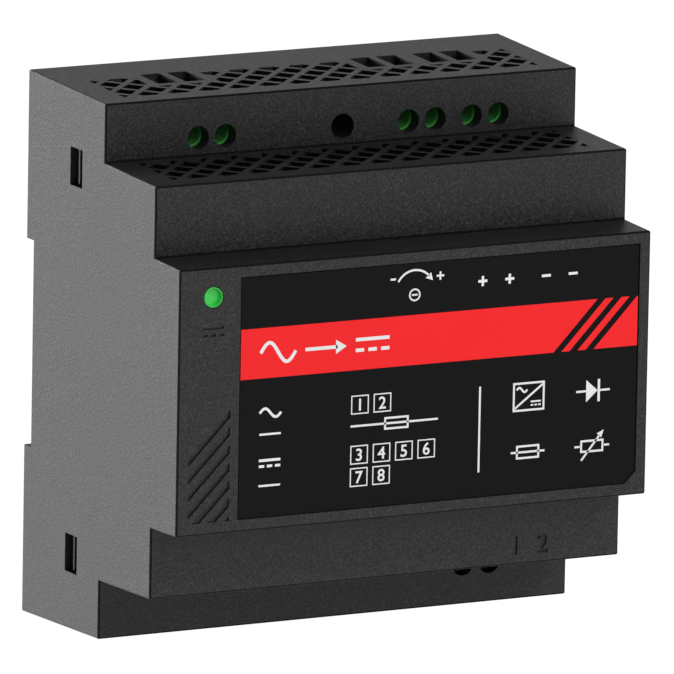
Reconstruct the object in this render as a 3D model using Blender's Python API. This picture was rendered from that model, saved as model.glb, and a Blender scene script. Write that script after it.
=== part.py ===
"""A power supply for a 35 mm rail: a stepped moulded case with screw terminals, a trimmer and its board.

X runs across the front from left to right, Z runs up, and the front faces -Y. The origin is the middle of
the rail seat. Depths are measured forwards from the case's back plane.
"""

import math

import bmesh
import bpy
from mathutils import Vector

MM = 0.001

# Case
WIDTH = 89.2 * MM
HEIGHT = 93.0 * MM
DEPTH = 56.1 * MM
TERMINAL_DEPTH = 28.5 * MM
SHOULDER_DEPTH = 47.0 * MM
TERMINAL_FACE_HEIGHT = 10.0 * MM
FRONT_HEIGHT = 45.0 * MM
SHELF_DRAFT = math.radians(2.0)
SIDE_DRAFT = math.radians(0.46)
WALL = 2.0 * MM
EDGE_ROUND = 0.3 * MM
CLEARANCE = 0.3 * MM

# Rail seat
RAIL_NOTCH_HEIGHT = 35.5 * MM
RAIL_NOTCH_DEPTH = 2.8 * MM
RAIL_GROOVE = 1.6 * MM
HOOK_REACH = 2.0 * MM
HOOK_WIDTH = 20.0 * MM
HOOK_SPACING = 48.0 * MM
RAIL_RELIEF = 0.3 * MM
RAIL_SEAT_HEIGHT = 28.0 * MM

# Lattice grilles
GRILLE_END = 5.5 * MM
GRILLE_SPAN = 13.1 * MM
GRILLE_MARGIN = 3.9 * MM
LATTICE_PITCH = 5.685 * MM
LATTICE_BAR = 1.1 * MM
LATTICE_FIRST_ROW = 3.65 * MM
SMALLEST_HOLE = 0.9 * MM * MM

# Terminals
AUX_INSET = 20.1 * MM
OUTPUT_INSET = 17.6 * MM
INPUT_INSET = 17.6 * MM
PAIR_PITCH = 12.0 * MM
POLE_PITCH = 5.08 * MM
SCREW_DROP = 7.9 * MM
SCREW_HOLE = 4.0 * MM
COLLAR_DEPTH = 2.6 * MM
COLLAR_WALL = 1.1 * MM
SLOT_WIDTH = 3.65 * MM
SLOT_START = 10.0 * MM
SLOT_LENGTH = 7.2 * MM
SLOT_FRAME = 1.9 * MM
BLOCK_WALL = 0.7 * MM
BLOCK_FLOOR = 0.9 * MM
BLOCK_INNER_REACH = 5.0 * MM
BLOCK_OUTER_REACH = 4.8 * MM
CAGE_WIDTH = 3.6 * MM
CAGE_LENGTH = 5.0 * MM
CAGE_HEIGHT = 6.2 * MM
CAGE_SIDE = 0.7 * MM
CAGE_SOLE = 0.9 * MM
CAGE_HEAD = 1.1 * MM
CAGE_TRAVEL = 2.0 * MM
CONTACT_THICKNESS = 0.8 * MM
CONTACT_PIN = 1.0 * MM
CONTACT_GAP = 0.5 * MM
SCREW_HEAD = 3.8 * MM
SCREW_HEAD_HEIGHT = 1.8 * MM
SCREW_SHANK = 2.2 * MM
SCREW_FUNNEL = 3.5 * MM
DRIVER_SLOT = 0.7 * MM
DRIVER_SLOT_DEPTH = 0.8 * MM

# Trimmer
TRIMMER_X = 0.0 * MM
TRIMMER_HOLE = 4.3 * MM
TRIMMER_COLLAR = 9.0 * MM
TRIMMER_SIDE = 6.6 * MM
TRIMMER_HEIGHT = 5.0 * MM
TRIMMER_ROTOR = 4.2 * MM
TRIMMER_WELL = 1.5 * MM
TRIMMER_RISE = 0.8 * MM

# Front panel
LAMP_STRIP = 11.35 * MM
LABEL_HEIGHT = 41.0 * MM
LABEL_MARGIN = 1.95 * MM
LABEL_CHAMFER = 2.1 * MM
LABEL_POCKET = 0.5 * MM
LABEL_THICKNESS = 0.25 * MM
LABEL_GLUE = 0.1 * MM
LABEL_GAP = 0.2 * MM
LAMP_INSET = 6.3 * MM
LAMP_DROP = 5.0 * MM
LAMP_GUIDE = 3.4 * MM
LAMP_GAP = 0.15 * MM
LAMP_DISH = 0.9 * MM
BAND_RIGHT_INSET = 9.75 * MM
BAND_LENGTH = 7.65 * MM
BAND_PITCH = 3.0 * MM
BAND_HEIGHT = 1.4 * MM
BAND_TOP = -1.6 * MM
BAND_DEPTH = 0.4 * MM
BAND_COUNT = 7

# Snap windows and tongues
WINDOW_START = 15.9 * MM
WINDOW_LENGTH = 4.4 * MM
WINDOW_HEIGHT = 6.5 * MM
WINDOW_DROP = 13.55 * MM
TONGUE_THICKNESS = 1.6 * MM
TONGUE_SETBACK = 1.5 * MM
TONGUE_CREST = 0.5 * MM
TONGUE_RAMP = 0.4 * MM
CREST_RECESS = 0.8 * MM
SIDE_FLANGE = 5.2 * MM

# Latch
LATCH_WIDTH = 24.0 * MM
LATCH_RIDGE = 2.0 * MM
LATCH_TRAVEL = 3.0 * MM
LATCH_TAB_WIDTH = 14.0 * MM
LATCH_TAB_REACH = 3.0 * MM
LATCH_EYE_WIDTH = 7.0 * MM
LATCH_EYE_HEIGHT = 1.5 * MM
LATCH_GUIDE_WALL = 2.7 * MM
SPRING_FOOT_RISE = 7.95 * MM
SPRING_LENGTH = 12.6 * MM
SPRING_RADIUS = 1.2 * MM
SPRING_WIRE = 0.5 * MM
SPRING_TURNS = 9
SPRING_PEG = 1.8 * MM
SPRING_TROUGH = 0.8 * MM

# Board
BOARD_BACK = 7.2 * MM
BOARD_THICKNESS = 1.6 * MM
BOARD_SIDE_GAP = 0.7 * MM
BOARD_END_GAP = 1.0 * MM
POST_DIAMETER = 5.0 * MM
POST_PIN = 2.0 * MM
POST_INSET = 4.4 * MM
SHEET_THICKNESS = 0.4 * MM
BOARD_REST_LENGTH = 6.0 * MM
BOARD_REST_DEPTH = 3.0 * MM

# Components by the line input; places across are counted from the input terminals or from the board's edge
FUSE_OFFSET = 13.5 * MM
FUSE_DIAMETER = 8.4 * MM
FUSE_HEIGHT = 8.0 * MM
THERMISTOR_OFFSET = 24.0 * MM
THERMISTOR_DISC = 10.0 * MM
THERMISTOR_THICKNESS = 4.0 * MM
LINE_CAPACITOR_OFFSET = 40.0 * MM
LINE_CAPACITOR_WIDTH = 18.0 * MM
LINE_CAPACITOR_BREADTH = 8.5 * MM
LINE_CAPACITOR_HEIGHT = 14.0 * MM
RECTIFIER_INSET = 29.8 * MM
RECTIFIER_RISE = 16.5 * MM
RECTIFIER_WIDTH = 15.0 * MM
RECTIFIER_BREADTH = 4.6 * MM
RECTIFIER_HEIGHT = 11.0 * MM
CHOKE_INSET = 10.5 * MM
CHOKE_RISE = 18.3 * MM
CHOKE_OUTER = 16.0 * MM
CHOKE_BORE = 8.0 * MM
CHOKE_HEIGHT = 8.0 * MM
CHOKE_WIRE = 0.9 * MM

# Components of the power stage
BULK_INSET = 11.5 * MM
BULK_Z = -1.5 * MM
BULK_DIAMETER = 18.0 * MM
BULK_HEIGHT = 30.0 * MM
SINK_THICKNESS = 2.0 * MM
SINK_FIN = 3.0 * MM
PRIMARY_SINK_Z = -23.5 * MM
PRIMARY_SINK_WIDTH = 27.0 * MM
PRIMARY_SINK_HEIGHT = 24.0 * MM
SINK_INSET = 5.0 * MM
OUTPUT_SINK_LENGTH = 22.0 * MM
OUTPUT_SINK_HEIGHT = 22.0 * MM
PACKAGE_TAB = 1.3 * MM
PACKAGE_THICKNESS = 4.4 * MM
PACKAGE_WIDTH = 10.0 * MM
PACKAGE_NECK = 13.0 * MM
PACKAGE_HEIGHT = 19.0 * MM
TRANSFORMER_X = 2.0 * MM
TRANSFORMER_Z = -4.0 * MM
TRANSFORMER_WIDTH = 25.0 * MM
TRANSFORMER_HEIGHT = 22.0 * MM
TRANSFORMER_THICKNESS = 10.0 * MM
TRANSFORMER_LIMB = 4.0 * MM
TRANSFORMER_POST = 7.0 * MM
BOBBIN_OVERHANG = 3.0 * MM
BOBBIN_FLANGE = 1.0 * MM
SAFETY_INSET = 16.5 * MM
SAFETY_Z = -8.0 * MM
SAFETY_DISC = 8.0 * MM
SAFETY_THICKNESS = 3.6 * MM

# Components of the output stage
OUTPUT_ROW = 21.0 * MM
OUTPUT_CAN_INSET = 14.5 * MM
OUTPUT_CAN_PITCH = 11.5 * MM
OUTPUT_CAN_DIAMETER = 10.0 * MM
OUTPUT_CAN_HEIGHT = 20.0 * MM
DRUM_X = -3.0 * MM
DRUM_DIAMETER = 11.0 * MM
DRUM_WAIST = 8.0 * MM
DRUM_RIM = 2.0 * MM
DRUM_HEIGHT = 12.0 * MM
CHIP_BREADTH = 6.4 * MM
CHIP_HEIGHT = 3.4 * MM
OPTO_X = -14.5 * MM
OPTO_WIDTH = 4.6 * MM
CONTROLLER_INSET = 12.0 * MM
CONTROLLER_WIDTH = 9.6 * MM

ROUND = 20

GRILLE_LENGTH = WIDTH - 2 * GRILLE_END
AUX_X = AUX_INSET - WIDTH / 2
MINUS_X = WIDTH / 2 - OUTPUT_INSET
PLUS_X = MINUS_X - PAIR_PITCH
INPUT_X = WIDTH / 2 - INPUT_INSET
BOARD_FRONT = BOARD_BACK + BOARD_THICKNESS
SEAT = BOARD_FRONT + CLEARANCE
SCREW_Z = HEIGHT / 2 - SCREW_DROP
CAGE_REST = SEAT + BLOCK_FLOOR + CLEARANCE
CAGE_END = CAGE_REST + CAGE_HEIGHT
CONTACT_FRONT = CAGE_END - CAGE_HEAD - CONTACT_GAP
HEAD_BACK = CAGE_END + CAGE_TRAVEL + CLEARANCE
HEAD_FRONT = HEAD_BACK + SCREW_HEAD_HEIGHT
BLOCK_FRONT = TERMINAL_DEPTH - COLLAR_DEPTH - CLEARANCE
CAVITY_WIDTH = CAGE_WIDTH + 2 * CLEARANCE
BLOCK_WIDTH = POLE_PITCH + CAVITY_WIDTH + 2 * BLOCK_WALL

PAIRS = [("aux", AUX_X, 1), ("plus", PLUS_X, 1), ("minus", MINUS_X, 1), ("input", INPUT_X, -1)]
POLES = [
    (f"{pair}_{index}", x + hand * POLE_PITCH / 2, side)
    for pair, x, side in PAIRS
    for index, hand in ((1, -1), (2, 1))
]


def spot(across, depth, up):
    """A point from its place across the width, its depth in front of the back plane and its height."""
    return Vector((across, RAIL_NOTCH_DEPTH - depth, up))


def half_width(depth):
    return WIDTH / 2 - math.tan(SIDE_DRAFT) * depth


def top_height(depth):
    return HEIGHT / 2 - math.tan(SHELF_DRAFT) * depth


def shoulder_height(depth):
    return top_height(TERMINAL_DEPTH) - TERMINAL_FACE_HEIGHT - math.tan(SHELF_DRAFT) * (depth - TERMINAL_DEPTH)


def collar_height(depth):
    return FRONT_HEIGHT / 2 + math.tan(SHELF_DRAFT) * (DEPTH - depth)


def circle(across, up, diameter, sides=ROUND):
    """Points of a circle."""
    step = 2 * math.pi / sides
    radius = diameter / 2
    return [(across + radius * math.cos(step * i), up + radius * math.sin(step * i)) for i in range(sides)]


def rectangle(low_a, high_a, low_b, high_b):
    return [(low_a, low_b), (high_a, low_b), (high_a, high_b), (low_a, high_b)]


def add_loft(bm, axis, sections):
    """A closed solid through outlines with equal counts of points; each section is a place along the axis
    and an outline whose pairs hold the other two of across, depth and up."""
    rings = []
    for along, outline in sections:
        if axis == "across":
            points = [spot(along, a, b) for a, b in outline]
        elif axis == "depth":
            points = [spot(a, along, b) for a, b in outline]
        else:
            points = [spot(a, b, along) for a, b in outline]
        rings.append([bm.verts.new(point) for point in points])
    bm.faces.new(rings[0])
    bm.faces.new(rings[-1])
    for near, far in zip(rings, rings[1:]):
        for i in range(len(near)):
            j = (i + 1) % len(near)
            bm.faces.new((near[i], near[j], far[j], far[i]))


def add_prism(bm, axis, outline, start, end):
    add_loft(bm, axis, [(start, outline), (end, outline)])


def add_box(bm, across, depth, up):
    add_prism(bm, "depth", rectangle(*across, *up), *depth)


def add_turned(bm, axis, centre, profile, sides=ROUND):
    """A solid of revolution: the profile lists a place along the axis and a diameter."""
    add_loft(bm, axis, [(along, circle(*centre, diameter, sides)) for along, diameter in profile])


def material(name, colour, roughness, metallic=0.0):
    made = bpy.data.materials.get(name)
    if made is None:
        made = bpy.data.materials.new(name)
        made.use_nodes = True
        shader = made.node_tree.nodes["Principled BSDF"]
        shader.inputs["Base Color"].default_value = (*colour, 1.0)
        shader.inputs["Roughness"].default_value = roughness
        shader.inputs["Metallic"].default_value = metallic
    return made


def case_plastic():
    return material("case_plastic", (0.05, 0.05, 0.052), 0.55)


def terminal_plastic():
    return material("terminal_plastic", (0.06, 0.42, 0.08), 0.4)


def plated_metal():
    return material("plated_metal", (0.7, 0.7, 0.68), 0.3, 1.0)


def dark_plastic():
    return material("dark_plastic", (0.02, 0.02, 0.022), 0.45)


def make_object(name, bm, surface, origin=None):
    """An object from a mesh under construction, its origin at the given point."""
    place = origin or Vector((0, 0, 0))
    bmesh.ops.translate(bm, verts=bm.verts, vec=-place)
    bmesh.ops.recalc_face_normals(bm, faces=bm.faces)
    mesh = bpy.data.meshes.new(name)
    bm.to_mesh(mesh)
    bm.free()
    made = bpy.data.objects.new(name, mesh)
    made.location = place
    bpy.context.scene.collection.objects.link(made)
    if surface:
        mesh.materials.append(surface)
    return made


def combine(target, bm, operation="DIFFERENCE"):
    """Cut a shape out of an object, or join it on."""
    tool = make_object(f"{target.name}_tool_{len(target.modifiers)}", bm, None)
    tool.hide_render = True
    tool.display_type = "WIRE"
    change = target.modifiers.new(operation.title(), "BOOLEAN")
    change.operation = operation
    change.solver = "EXACT"
    change.object = tool


def clip(outline, inside):
    """The part of a convex outline where inside, a function that is linear over the plane, isn't negative."""
    kept = []
    for (a, b), (c, d) in zip(outline, outline[1:] + outline[:1]):
        here = inside(a, b)
        there = inside(c, d)
        if here >= 0:
            kept.append((a, b))
        if here * there < 0:
            share = here / (here - there)
            kept.append((a + share * (c - a), b + share * (d - b)))
    return kept


def area(outline):
    pairs = zip(outline, outline[1:] + outline[:1])
    return abs(sum(a * d - b * c for (a, b), (c, d) in pairs)) / 2


def grille_holes(front, frames):
    """Outlines, across and depth, of one grille's diamond holes. They lie in staggered rows, are clipped to
    the grille's edge, and leave solid the frames round the wire slots."""
    reach = LATTICE_PITCH / 2 - LATTICE_BAR / math.sqrt(2)
    half = LATTICE_PITCH / 2
    back = front - GRILLE_SPAN
    rows = math.ceil(GRILLE_SPAN / half)
    columns = math.ceil(GRILLE_LENGTH / LATTICE_PITCH) + 1
    holes = []
    for row in range(-2, rows):
        depth = front - LATTICE_FIRST_ROW - row * half
        for column in range(-columns, columns + 1):
            if (row + column) % 2 == 0:
                continue
            x = column * half
            hole = [(x - reach, depth), (x, depth - reach), (x + reach, depth), (x, depth + reach)]
            hole = clip(hole, lambda a, b: b - back)
            hole = clip(hole, lambda a, b: front - b)
            hole = clip(hole, lambda a, b: a + GRILLE_LENGTH / 2)
            hole = clip(hole, lambda a, b: GRILLE_LENGTH / 2 - a)
            for left, right, end in frames:
                parts = [
                    clip(hole, lambda a, b: left - a),
                    clip(hole, lambda a, b: a - right),
                    clip(hole, lambda a, b: b - end),
                ]
                hole = max(parts, key=area)
            if area(hole) > SMALLEST_HOLE:
                holes.append(hole)
    return holes


def slot_frames(side):
    """The solid surrounds of the wire slots on the top or the bottom face: left, right and front edges."""
    reach = POLE_PITCH / 2 + SLOT_WIDTH / 2 + SLOT_FRAME
    end = SLOT_START + SLOT_LENGTH + SLOT_FRAME * 0.8
    return [(x - reach, x + reach, end) for _, x, pair_side in PAIRS if pair_side == side]


def stepped_outline(inset, back):
    """The case's side outline, depth and height, moved in by an inset."""
    first = TERMINAL_DEPTH - inset
    second = SHOULDER_DEPTH - inset
    third = DEPTH - inset
    upper = [
        (back, top_height(back) - inset),
        (first, top_height(first) - inset),
        (first, shoulder_height(first) - inset),
        (second, shoulder_height(second) - inset),
        (second, collar_height(second) - inset),
        (third, collar_height(third) - inset),
    ]
    return upper + [(depth, -up) for depth, up in reversed(upper)]


def add_stepped_block(bm, inset, back):
    """The case's outer form, or its hollow: the side outline between two drafted sides."""
    outline = stepped_outline(inset, back)
    left = [bm.verts.new(spot(inset - half_width(depth), depth, up)) for depth, up in outline]
    right = [bm.verts.new(spot(half_width(depth) - inset, depth, up)) for depth, up in outline]
    bm.faces.new(left)
    bm.faces.new(right)
    for i in range(len(outline)):
        j = (i + 1) % len(outline)
        bm.faces.new((left[i], left[j], right[j], right[i]))


def label_outline(gap):
    """The label's outline, across and up, with its lower right corner cut off."""
    right = half_width(DEPTH) - LABEL_MARGIN - gap
    left = LAMP_STRIP - half_width(DEPTH) + gap
    top = LABEL_HEIGHT / 2 - gap
    return [(left, top), (left, -top), (right - LABEL_CHAMFER, -top), (right, LABEL_CHAMFER - top), (right, top)]


def lamp_place():
    return LAMP_INSET - half_width(DEPTH), FRONT_HEIGHT / 2 - LAMP_DROP


def front_shell():
    bm = bmesh.new()
    add_stepped_block(bm, 0.0, 0.0)
    shell = make_object("front_shell", bm, case_plastic())
    rounding = shell.modifiers.new("Edges", "BEVEL")
    rounding.width = EDGE_ROUND
    rounding.segments = 2
    rounding.limit_method = "ANGLE"

    bm = bmesh.new()
    add_stepped_block(bm, WALL, -WALL)
    combine(shell, bm)

    # Driver collars behind the terminal faces, lamp collar and board rests
    bm = bmesh.new()
    sink = WALL / 2
    collar = (POLE_PITCH + SCREW_HOLE) / 2 + COLLAR_WALL
    collar_half = SCREW_HOLE / 2 + COLLAR_WALL
    for _, x, side in PAIRS:
        up = (side * SCREW_Z - collar_half, side * SCREW_Z + collar_half)
        add_box(bm, (x - collar, x + collar), (TERMINAL_DEPTH - COLLAR_DEPTH, TERMINAL_DEPTH - sink), up)
    trimmer_collar = circle(TRIMMER_X, SCREW_Z, TRIMMER_HOLE + 2 * COLLAR_WALL)
    add_prism(bm, "depth", trimmer_collar, TERMINAL_DEPTH - TRIMMER_COLLAR, TERMINAL_DEPTH - sink)
    lamp_x, lamp_z = lamp_place()
    lamp_collar = LAMP_GUIDE + 2 * (LAMP_GAP + COLLAR_WALL)
    add_prism(bm, "depth", circle(lamp_x, lamp_z, lamp_collar), DEPTH - 3 * WALL, DEPTH - sink)
    for hand in (-1, 1):
        for level in (-1, 1):
            side_wall = half_width(BOARD_FRONT) - WALL
            inner = hand * (side_wall - TONGUE_THICKNESS - 2 * CLEARANCE - 2 * BOARD_SIDE_GAP)
            outer = hand * (side_wall + sink)
            base = level * BOARD_REST_LENGTH
            add_box(bm, sorted((inner, outer)), (SEAT, SEAT + BOARD_REST_DEPTH), sorted((base / 2, base * 1.5)))
    combine(shell, bm, "UNION")

    # Lattice grilles on the top, the bottom and both shoulders
    bm = bmesh.new()
    for side in (-1, 1):
        for hole in grille_holes(TERMINAL_DEPTH - GRILLE_MARGIN, slot_frames(side)):
            add_prism(bm, "up", hole, side * (top_height(TERMINAL_DEPTH) - 2 * WALL), side * (HEIGHT / 2 + WALL))
        for hole in grille_holes(SHOULDER_DEPTH - GRILLE_MARGIN, []):
            low = shoulder_height(SHOULDER_DEPTH) - 2 * WALL
            add_prism(bm, "up", hole, side * low, side * (shoulder_height(TERMINAL_DEPTH) + WALL))
    combine(shell, bm)

    # Wire slots, driver holes, trimmer hole and lamp hole
    bm = bmesh.new()
    for _, x, side in POLES:
        slot = rectangle(x - SLOT_WIDTH / 2, x + SLOT_WIDTH / 2, SLOT_START, SLOT_START + SLOT_LENGTH)
        add_prism(bm, "up", slot, side * (top_height(TERMINAL_DEPTH) - 2 * WALL), side * (HEIGHT / 2 + WALL))
        hole = circle(x, side * SCREW_Z, SCREW_HOLE)
        add_prism(bm, "depth", hole, TERMINAL_DEPTH - COLLAR_DEPTH - WALL, TERMINAL_DEPTH + WALL)
    trimmer_hole = circle(TRIMMER_X, SCREW_Z, TRIMMER_HOLE)
    add_prism(bm, "depth", trimmer_hole, TERMINAL_DEPTH - TRIMMER_COLLAR - WALL, TERMINAL_DEPTH + WALL)
    add_prism(bm, "depth", circle(lamp_x, lamp_z, LAMP_GUIDE + 2 * LAMP_GAP), DEPTH - 4 * WALL, DEPTH + WALL)
    combine(shell, bm)

    # Label pocket and the sunk diagonal bands beside it
    bm = bmesh.new()
    add_prism(bm, "depth", label_outline(0.0), DEPTH - LABEL_POCKET, DEPTH + WALL)
    right = BAND_RIGHT_INSET - half_width(DEPTH)
    left = right - BAND_LENGTH
    for index in range(BAND_COUNT):
        top = BAND_TOP - index * BAND_PITCH
        low = top - BAND_HEIGHT
        band = [(right, top), (right, low), (left, low - BAND_LENGTH), (left, top - BAND_LENGTH)]
        band = clip(band, lambda a, b: b + LABEL_HEIGHT / 2)
        add_prism(bm, "depth", band, DEPTH - BAND_DEPTH, DEPTH + WALL)
    combine(shell, bm)

    # Rail notch, snap windows and the latch's way out
    bm = bmesh.new()
    notch = RAIL_NOTCH_HEIGHT / 2
    add_box(bm, (-WIDTH, WIDTH), (-WALL, RAIL_NOTCH_DEPTH), (-notch, notch))
    for level in (-1, 1):
        middle = level * (HEIGHT / 2 - WINDOW_DROP)
        for hand in (-1, 1):
            across = sorted((hand * (WIDTH / 2 - 2 * WALL), hand * (WIDTH / 2 + WALL)))
            add_box(bm, across, (WINDOW_START, WINDOW_START + WINDOW_LENGTH),
                    (middle - WINDOW_HEIGHT / 2, middle + WINDOW_HEIGHT / 2))
    gate = LATCH_TAB_WIDTH / 2 + CLEARANCE
    below = -HEIGHT / 2 - WALL
    add_box(bm, (-gate, gate), (-WALL, RAIL_NOTCH_DEPTH + CLEARANCE), (below, below + 3 * WALL))
    combine(shell, bm)
    return shell


def base_half_width():
    return half_width(WINDOW_START + WINDOW_LENGTH) - WALL - CLEARANCE


def base_half_height():
    return top_height(RAIL_NOTCH_DEPTH + WALL) - WALL - CLEARANCE


def latch_levels():
    """Heights of the latch: its nose, its body's top, the spring's ends and the peg's foot."""
    notch = RAIL_NOTCH_HEIGHT / 2
    spring_foot = SPRING_FOOT_RISE - HEIGHT / 2
    spring_top = spring_foot + SPRING_LENGTH
    return HOOK_REACH - notch, -notch - CLEARANCE, spring_top, spring_foot, spring_foot - SPRING_PEG


def post_places():
    half = base_half_width() - TONGUE_THICKNESS - POST_INSET
    height = base_half_height() - POST_INSET - BOARD_END_GAP
    return [(x, z) for x in (-half, half) for z in (-height, height)]


def rear_base():
    notch = RAIL_NOTCH_HEIGHT / 2
    half = base_half_width()
    top = base_half_height()
    floor = RAIL_NOTCH_DEPTH
    upper = [(0.0, top), (0.0, notch), (floor, notch)]
    inner = [(floor + WALL, notch + WALL), (WALL, notch + WALL), (WALL, top)]
    outline = upper + [(d, -z) for d, z in reversed(upper)]
    outline += [(d, -z) for d, z in reversed(inner)] + inner
    bm = bmesh.new()
    add_prism(bm, "across", outline, -half, half)
    base = make_object("rear_base", bm, case_plastic())

    # Side flanges with their snap tongues
    bm = bmesh.new()
    middle = HEIGHT / 2 - WINDOW_DROP
    reach = middle + WINDOW_HEIGHT / 2 - CLEARANCE
    step = WALL / 2
    flange = [(step, reach), (step, notch + step), (floor + step, notch + step)]
    flange += [(d, -z) for d, z in reversed(flange)]
    flange += [(floor + SIDE_FLANGE, -reach), (floor + SIDE_FLANGE, reach)]
    catch = WINDOW_START + TONGUE_SETBACK
    crest = half_width(catch) - CREST_RECESS
    tip = catch + TONGUE_CREST + TONGUE_RAMP
    inside = half - TONGUE_THICKNESS
    tongue = [(inside, floor + step), (half, floor + step), (half, catch), (crest, catch),
              (crest, catch + TONGUE_CREST), (half, tip), (half, tip + step), (inside, tip + step)]
    for hand in (-1, 1):
        add_prism(bm, "across", flange, hand * (inside + step / 4), hand * (half - step / 4))
    combine(base, bm, "UNION")
    bm = bmesh.new()
    for hand in (-1, 1):
        for level in (-1, 1):
            low, high = sorted((level * (middle - WINDOW_HEIGHT / 2 + CLEARANCE), level * reach))
            add_prism(bm, "up", [(hand * a, b) for a, b in tongue], low, high)
    combine(base, bm, "UNION")

    # Fixed rail hooks and the latch's guide block
    bm = bmesh.new()
    lip = floor - RAIL_GROOVE
    hook = [(0.0, notch + step), (0.0, notch - HOOK_REACH / 2), (lip / 2, notch - HOOK_REACH),
            (lip, notch - HOOK_REACH), (lip, notch + step)]
    for hand in (-1, 1):
        start = hand * HOOK_SPACING / 2
        add_prism(bm, "across", hook, start - HOOK_WIDTH / 2, start + HOOK_WIDTH / 2)
    guide = LATCH_WIDTH / 2 + LATCH_RIDGE + CLEARANCE + LATCH_GUIDE_WALL
    add_box(bm, (-guide, guide), (0.0, floor + WALL), (-top, -notch))
    for x, z in post_places():
        add_turned(bm, "depth", (x, z), [(WALL / 2, POST_DIAMETER), (BOARD_BACK - CLEARANCE, POST_DIAMETER)])
    combine(base, bm, "UNION")
    bm = bmesh.new()
    for x, z in post_places():
        add_turned(bm, "depth", (x, z), [(WALL, POST_PIN), (SEAT + CLEARANCE, POST_PIN)])
    combine(base, bm, "UNION")

    # Relief grooves beside the rail seat, under the rail's lips
    bm = bmesh.new()
    for level in (-1, 1):
        edges = sorted((level * RAIL_SEAT_HEIGHT / 2, level * (notch - CLEARANCE)))
        add_box(bm, (-WIDTH, WIDTH), (floor - CLEARANCE, floor + RAIL_RELIEF), edges)
    combine(base, bm)

    # The latch's slideway: wide for its ridges, narrower at the back to hold it, with a trough for the spring
    _, _, spring_top, spring_foot, peg_foot = latch_levels()
    wide = LATCH_WIDTH / 2 + LATCH_RIDGE + CLEARANCE
    narrow = LATCH_WIDTH / 2 + CLEARANCE
    slideway = [(-narrow, -WALL), (narrow, -WALL), (narrow, lip), (wide, lip), (wide, floor), (-wide, floor),
                (-wide, lip), (-narrow, lip)]
    bm = bmesh.new()
    add_prism(bm, "up", slideway, -top - WALL, HOOK_REACH - notch)
    combine(base, bm)
    bm = bmesh.new()
    trough = SPRING_RADIUS + SPRING_WIRE + CLEARANCE
    add_box(bm, (-trough, trough), (floor - WALL, floor + SPRING_TROUGH), (spring_foot, spring_top + WALL))
    combine(base, bm)
    bm = bmesh.new()
    peg = trough - CLEARANCE
    add_box(bm, (-peg, peg), (2 * CLEARANCE, floor + WALL / 2), (peg_foot, spring_foot))
    combine(base, bm, "UNION")
    return base


def rail_latch():
    """The sprung foot: a plate with side ridges, a bevelled nose, a spring window and a pull tab."""
    nose, body_top, spring_top, spring_foot, peg_foot = latch_levels()
    floor = RAIL_NOTCH_DEPTH
    lip = floor - RAIL_GROOVE
    half = LATCH_WIDTH / 2
    back = CLEARANCE
    front = floor - CLEARANCE
    foot = WALL + 2 * CLEARANCE + LATCH_TRAVEL - HEIGHT / 2
    low = -HEIGHT / 2 - LATCH_TAB_REACH
    tab = LATCH_TAB_WIDTH / 2
    bm = bmesh.new()
    outline = [(half, body_top), (-half, body_top), (-half, foot), (-tab, foot), (-tab, low), (tab, low),
               (tab, foot), (half, foot)]
    add_prism(bm, "depth", outline, back, front)
    latch = make_object("rail_latch", bm, dark_plastic(), spot(0.0, floor, -RAIL_NOTCH_HEIGHT / 2))

    bm = bmesh.new()
    ridge = half + LATCH_RIDGE
    add_box(bm, (-ridge, ridge), (lip + CLEARANCE, front), (foot, body_top - CLEARANCE))
    root = body_top - WALL
    nose_outline = [(back, root), (back, (nose + body_top) / 2), (lip * 0.7, nose), (lip, nose), (lip, root)]
    add_prism(bm, "across", nose_outline, CLEARANCE - half, half - CLEARANCE)
    combine(latch, bm, "UNION")

    bm = bmesh.new()
    window = SPRING_RADIUS + SPRING_WIRE + CLEARANCE
    add_box(bm, (-window, window), (-WALL, floor + WALL), (peg_foot - CLEARANCE, spring_top))
    eye = LATCH_EYE_WIDTH / 2
    eye_low = low + LATCH_EYE_HEIGHT / 2
    add_box(bm, (-eye, eye), (-WALL, floor + WALL), (eye_low, eye_low + LATCH_EYE_HEIGHT))
    combine(latch, bm)
    return latch


def latch_spring():
    """One unbroken wire: a helix with short straight ends along its axis."""
    _, _, spring_top, spring_foot, _ = latch_levels()
    steps = SPRING_TURNS * 9
    low = spring_foot + CLEARANCE
    high = spring_top - CLEARANCE
    coil_low = low + SPRING_WIRE
    coil_high = high - SPRING_WIRE
    depth = (RAIL_NOTCH_DEPTH + SPRING_TROUGH) / 2 - CLEARANCE / 2
    points = [spot(SPRING_RADIUS, depth, low)]
    for step in range(steps + 1):
        turn = 2 * math.pi * step * SPRING_TURNS / steps
        rise = coil_low + (coil_high - coil_low) * step / steps
        points.append(spot(SPRING_RADIUS * math.cos(turn), depth + SPRING_RADIUS * math.sin(turn), rise))
    points.append(spot(SPRING_RADIUS, depth, high))
    per_turn = steps // SPRING_TURNS
    apart = per_turn // 2
    nearest = min((a - b).length for i, a in enumerate(points) for b in points[i + apart:])
    print(f"latch_spring least gap to itself {(nearest - SPRING_WIRE) / MM:.2f} mm")
    curve = bpy.data.curves.new("latch_spring", "CURVE")
    curve.dimensions = "3D"
    curve.bevel_depth = SPRING_WIRE / 2
    curve.bevel_resolution = 1
    curve.use_fill_caps = True
    wire = curve.splines.new("POLY")
    wire.points.add(len(points) - 1)
    for place, point in zip(wire.points, points):
        place.co = (*point, 1.0)
    curve.materials.append(plated_metal())
    made = bpy.data.objects.new("latch_spring", curve)
    bpy.context.scene.collection.objects.link(made)


def front_label():
    bm = bmesh.new()
    back = DEPTH - LABEL_POCKET + LABEL_GLUE
    add_prism(bm, "depth", label_outline(LABEL_GAP), back, back + LABEL_THICKNESS)
    make_object("front_label", bm, material("label_film", (0.012, 0.012, 0.012), 0.35))


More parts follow.
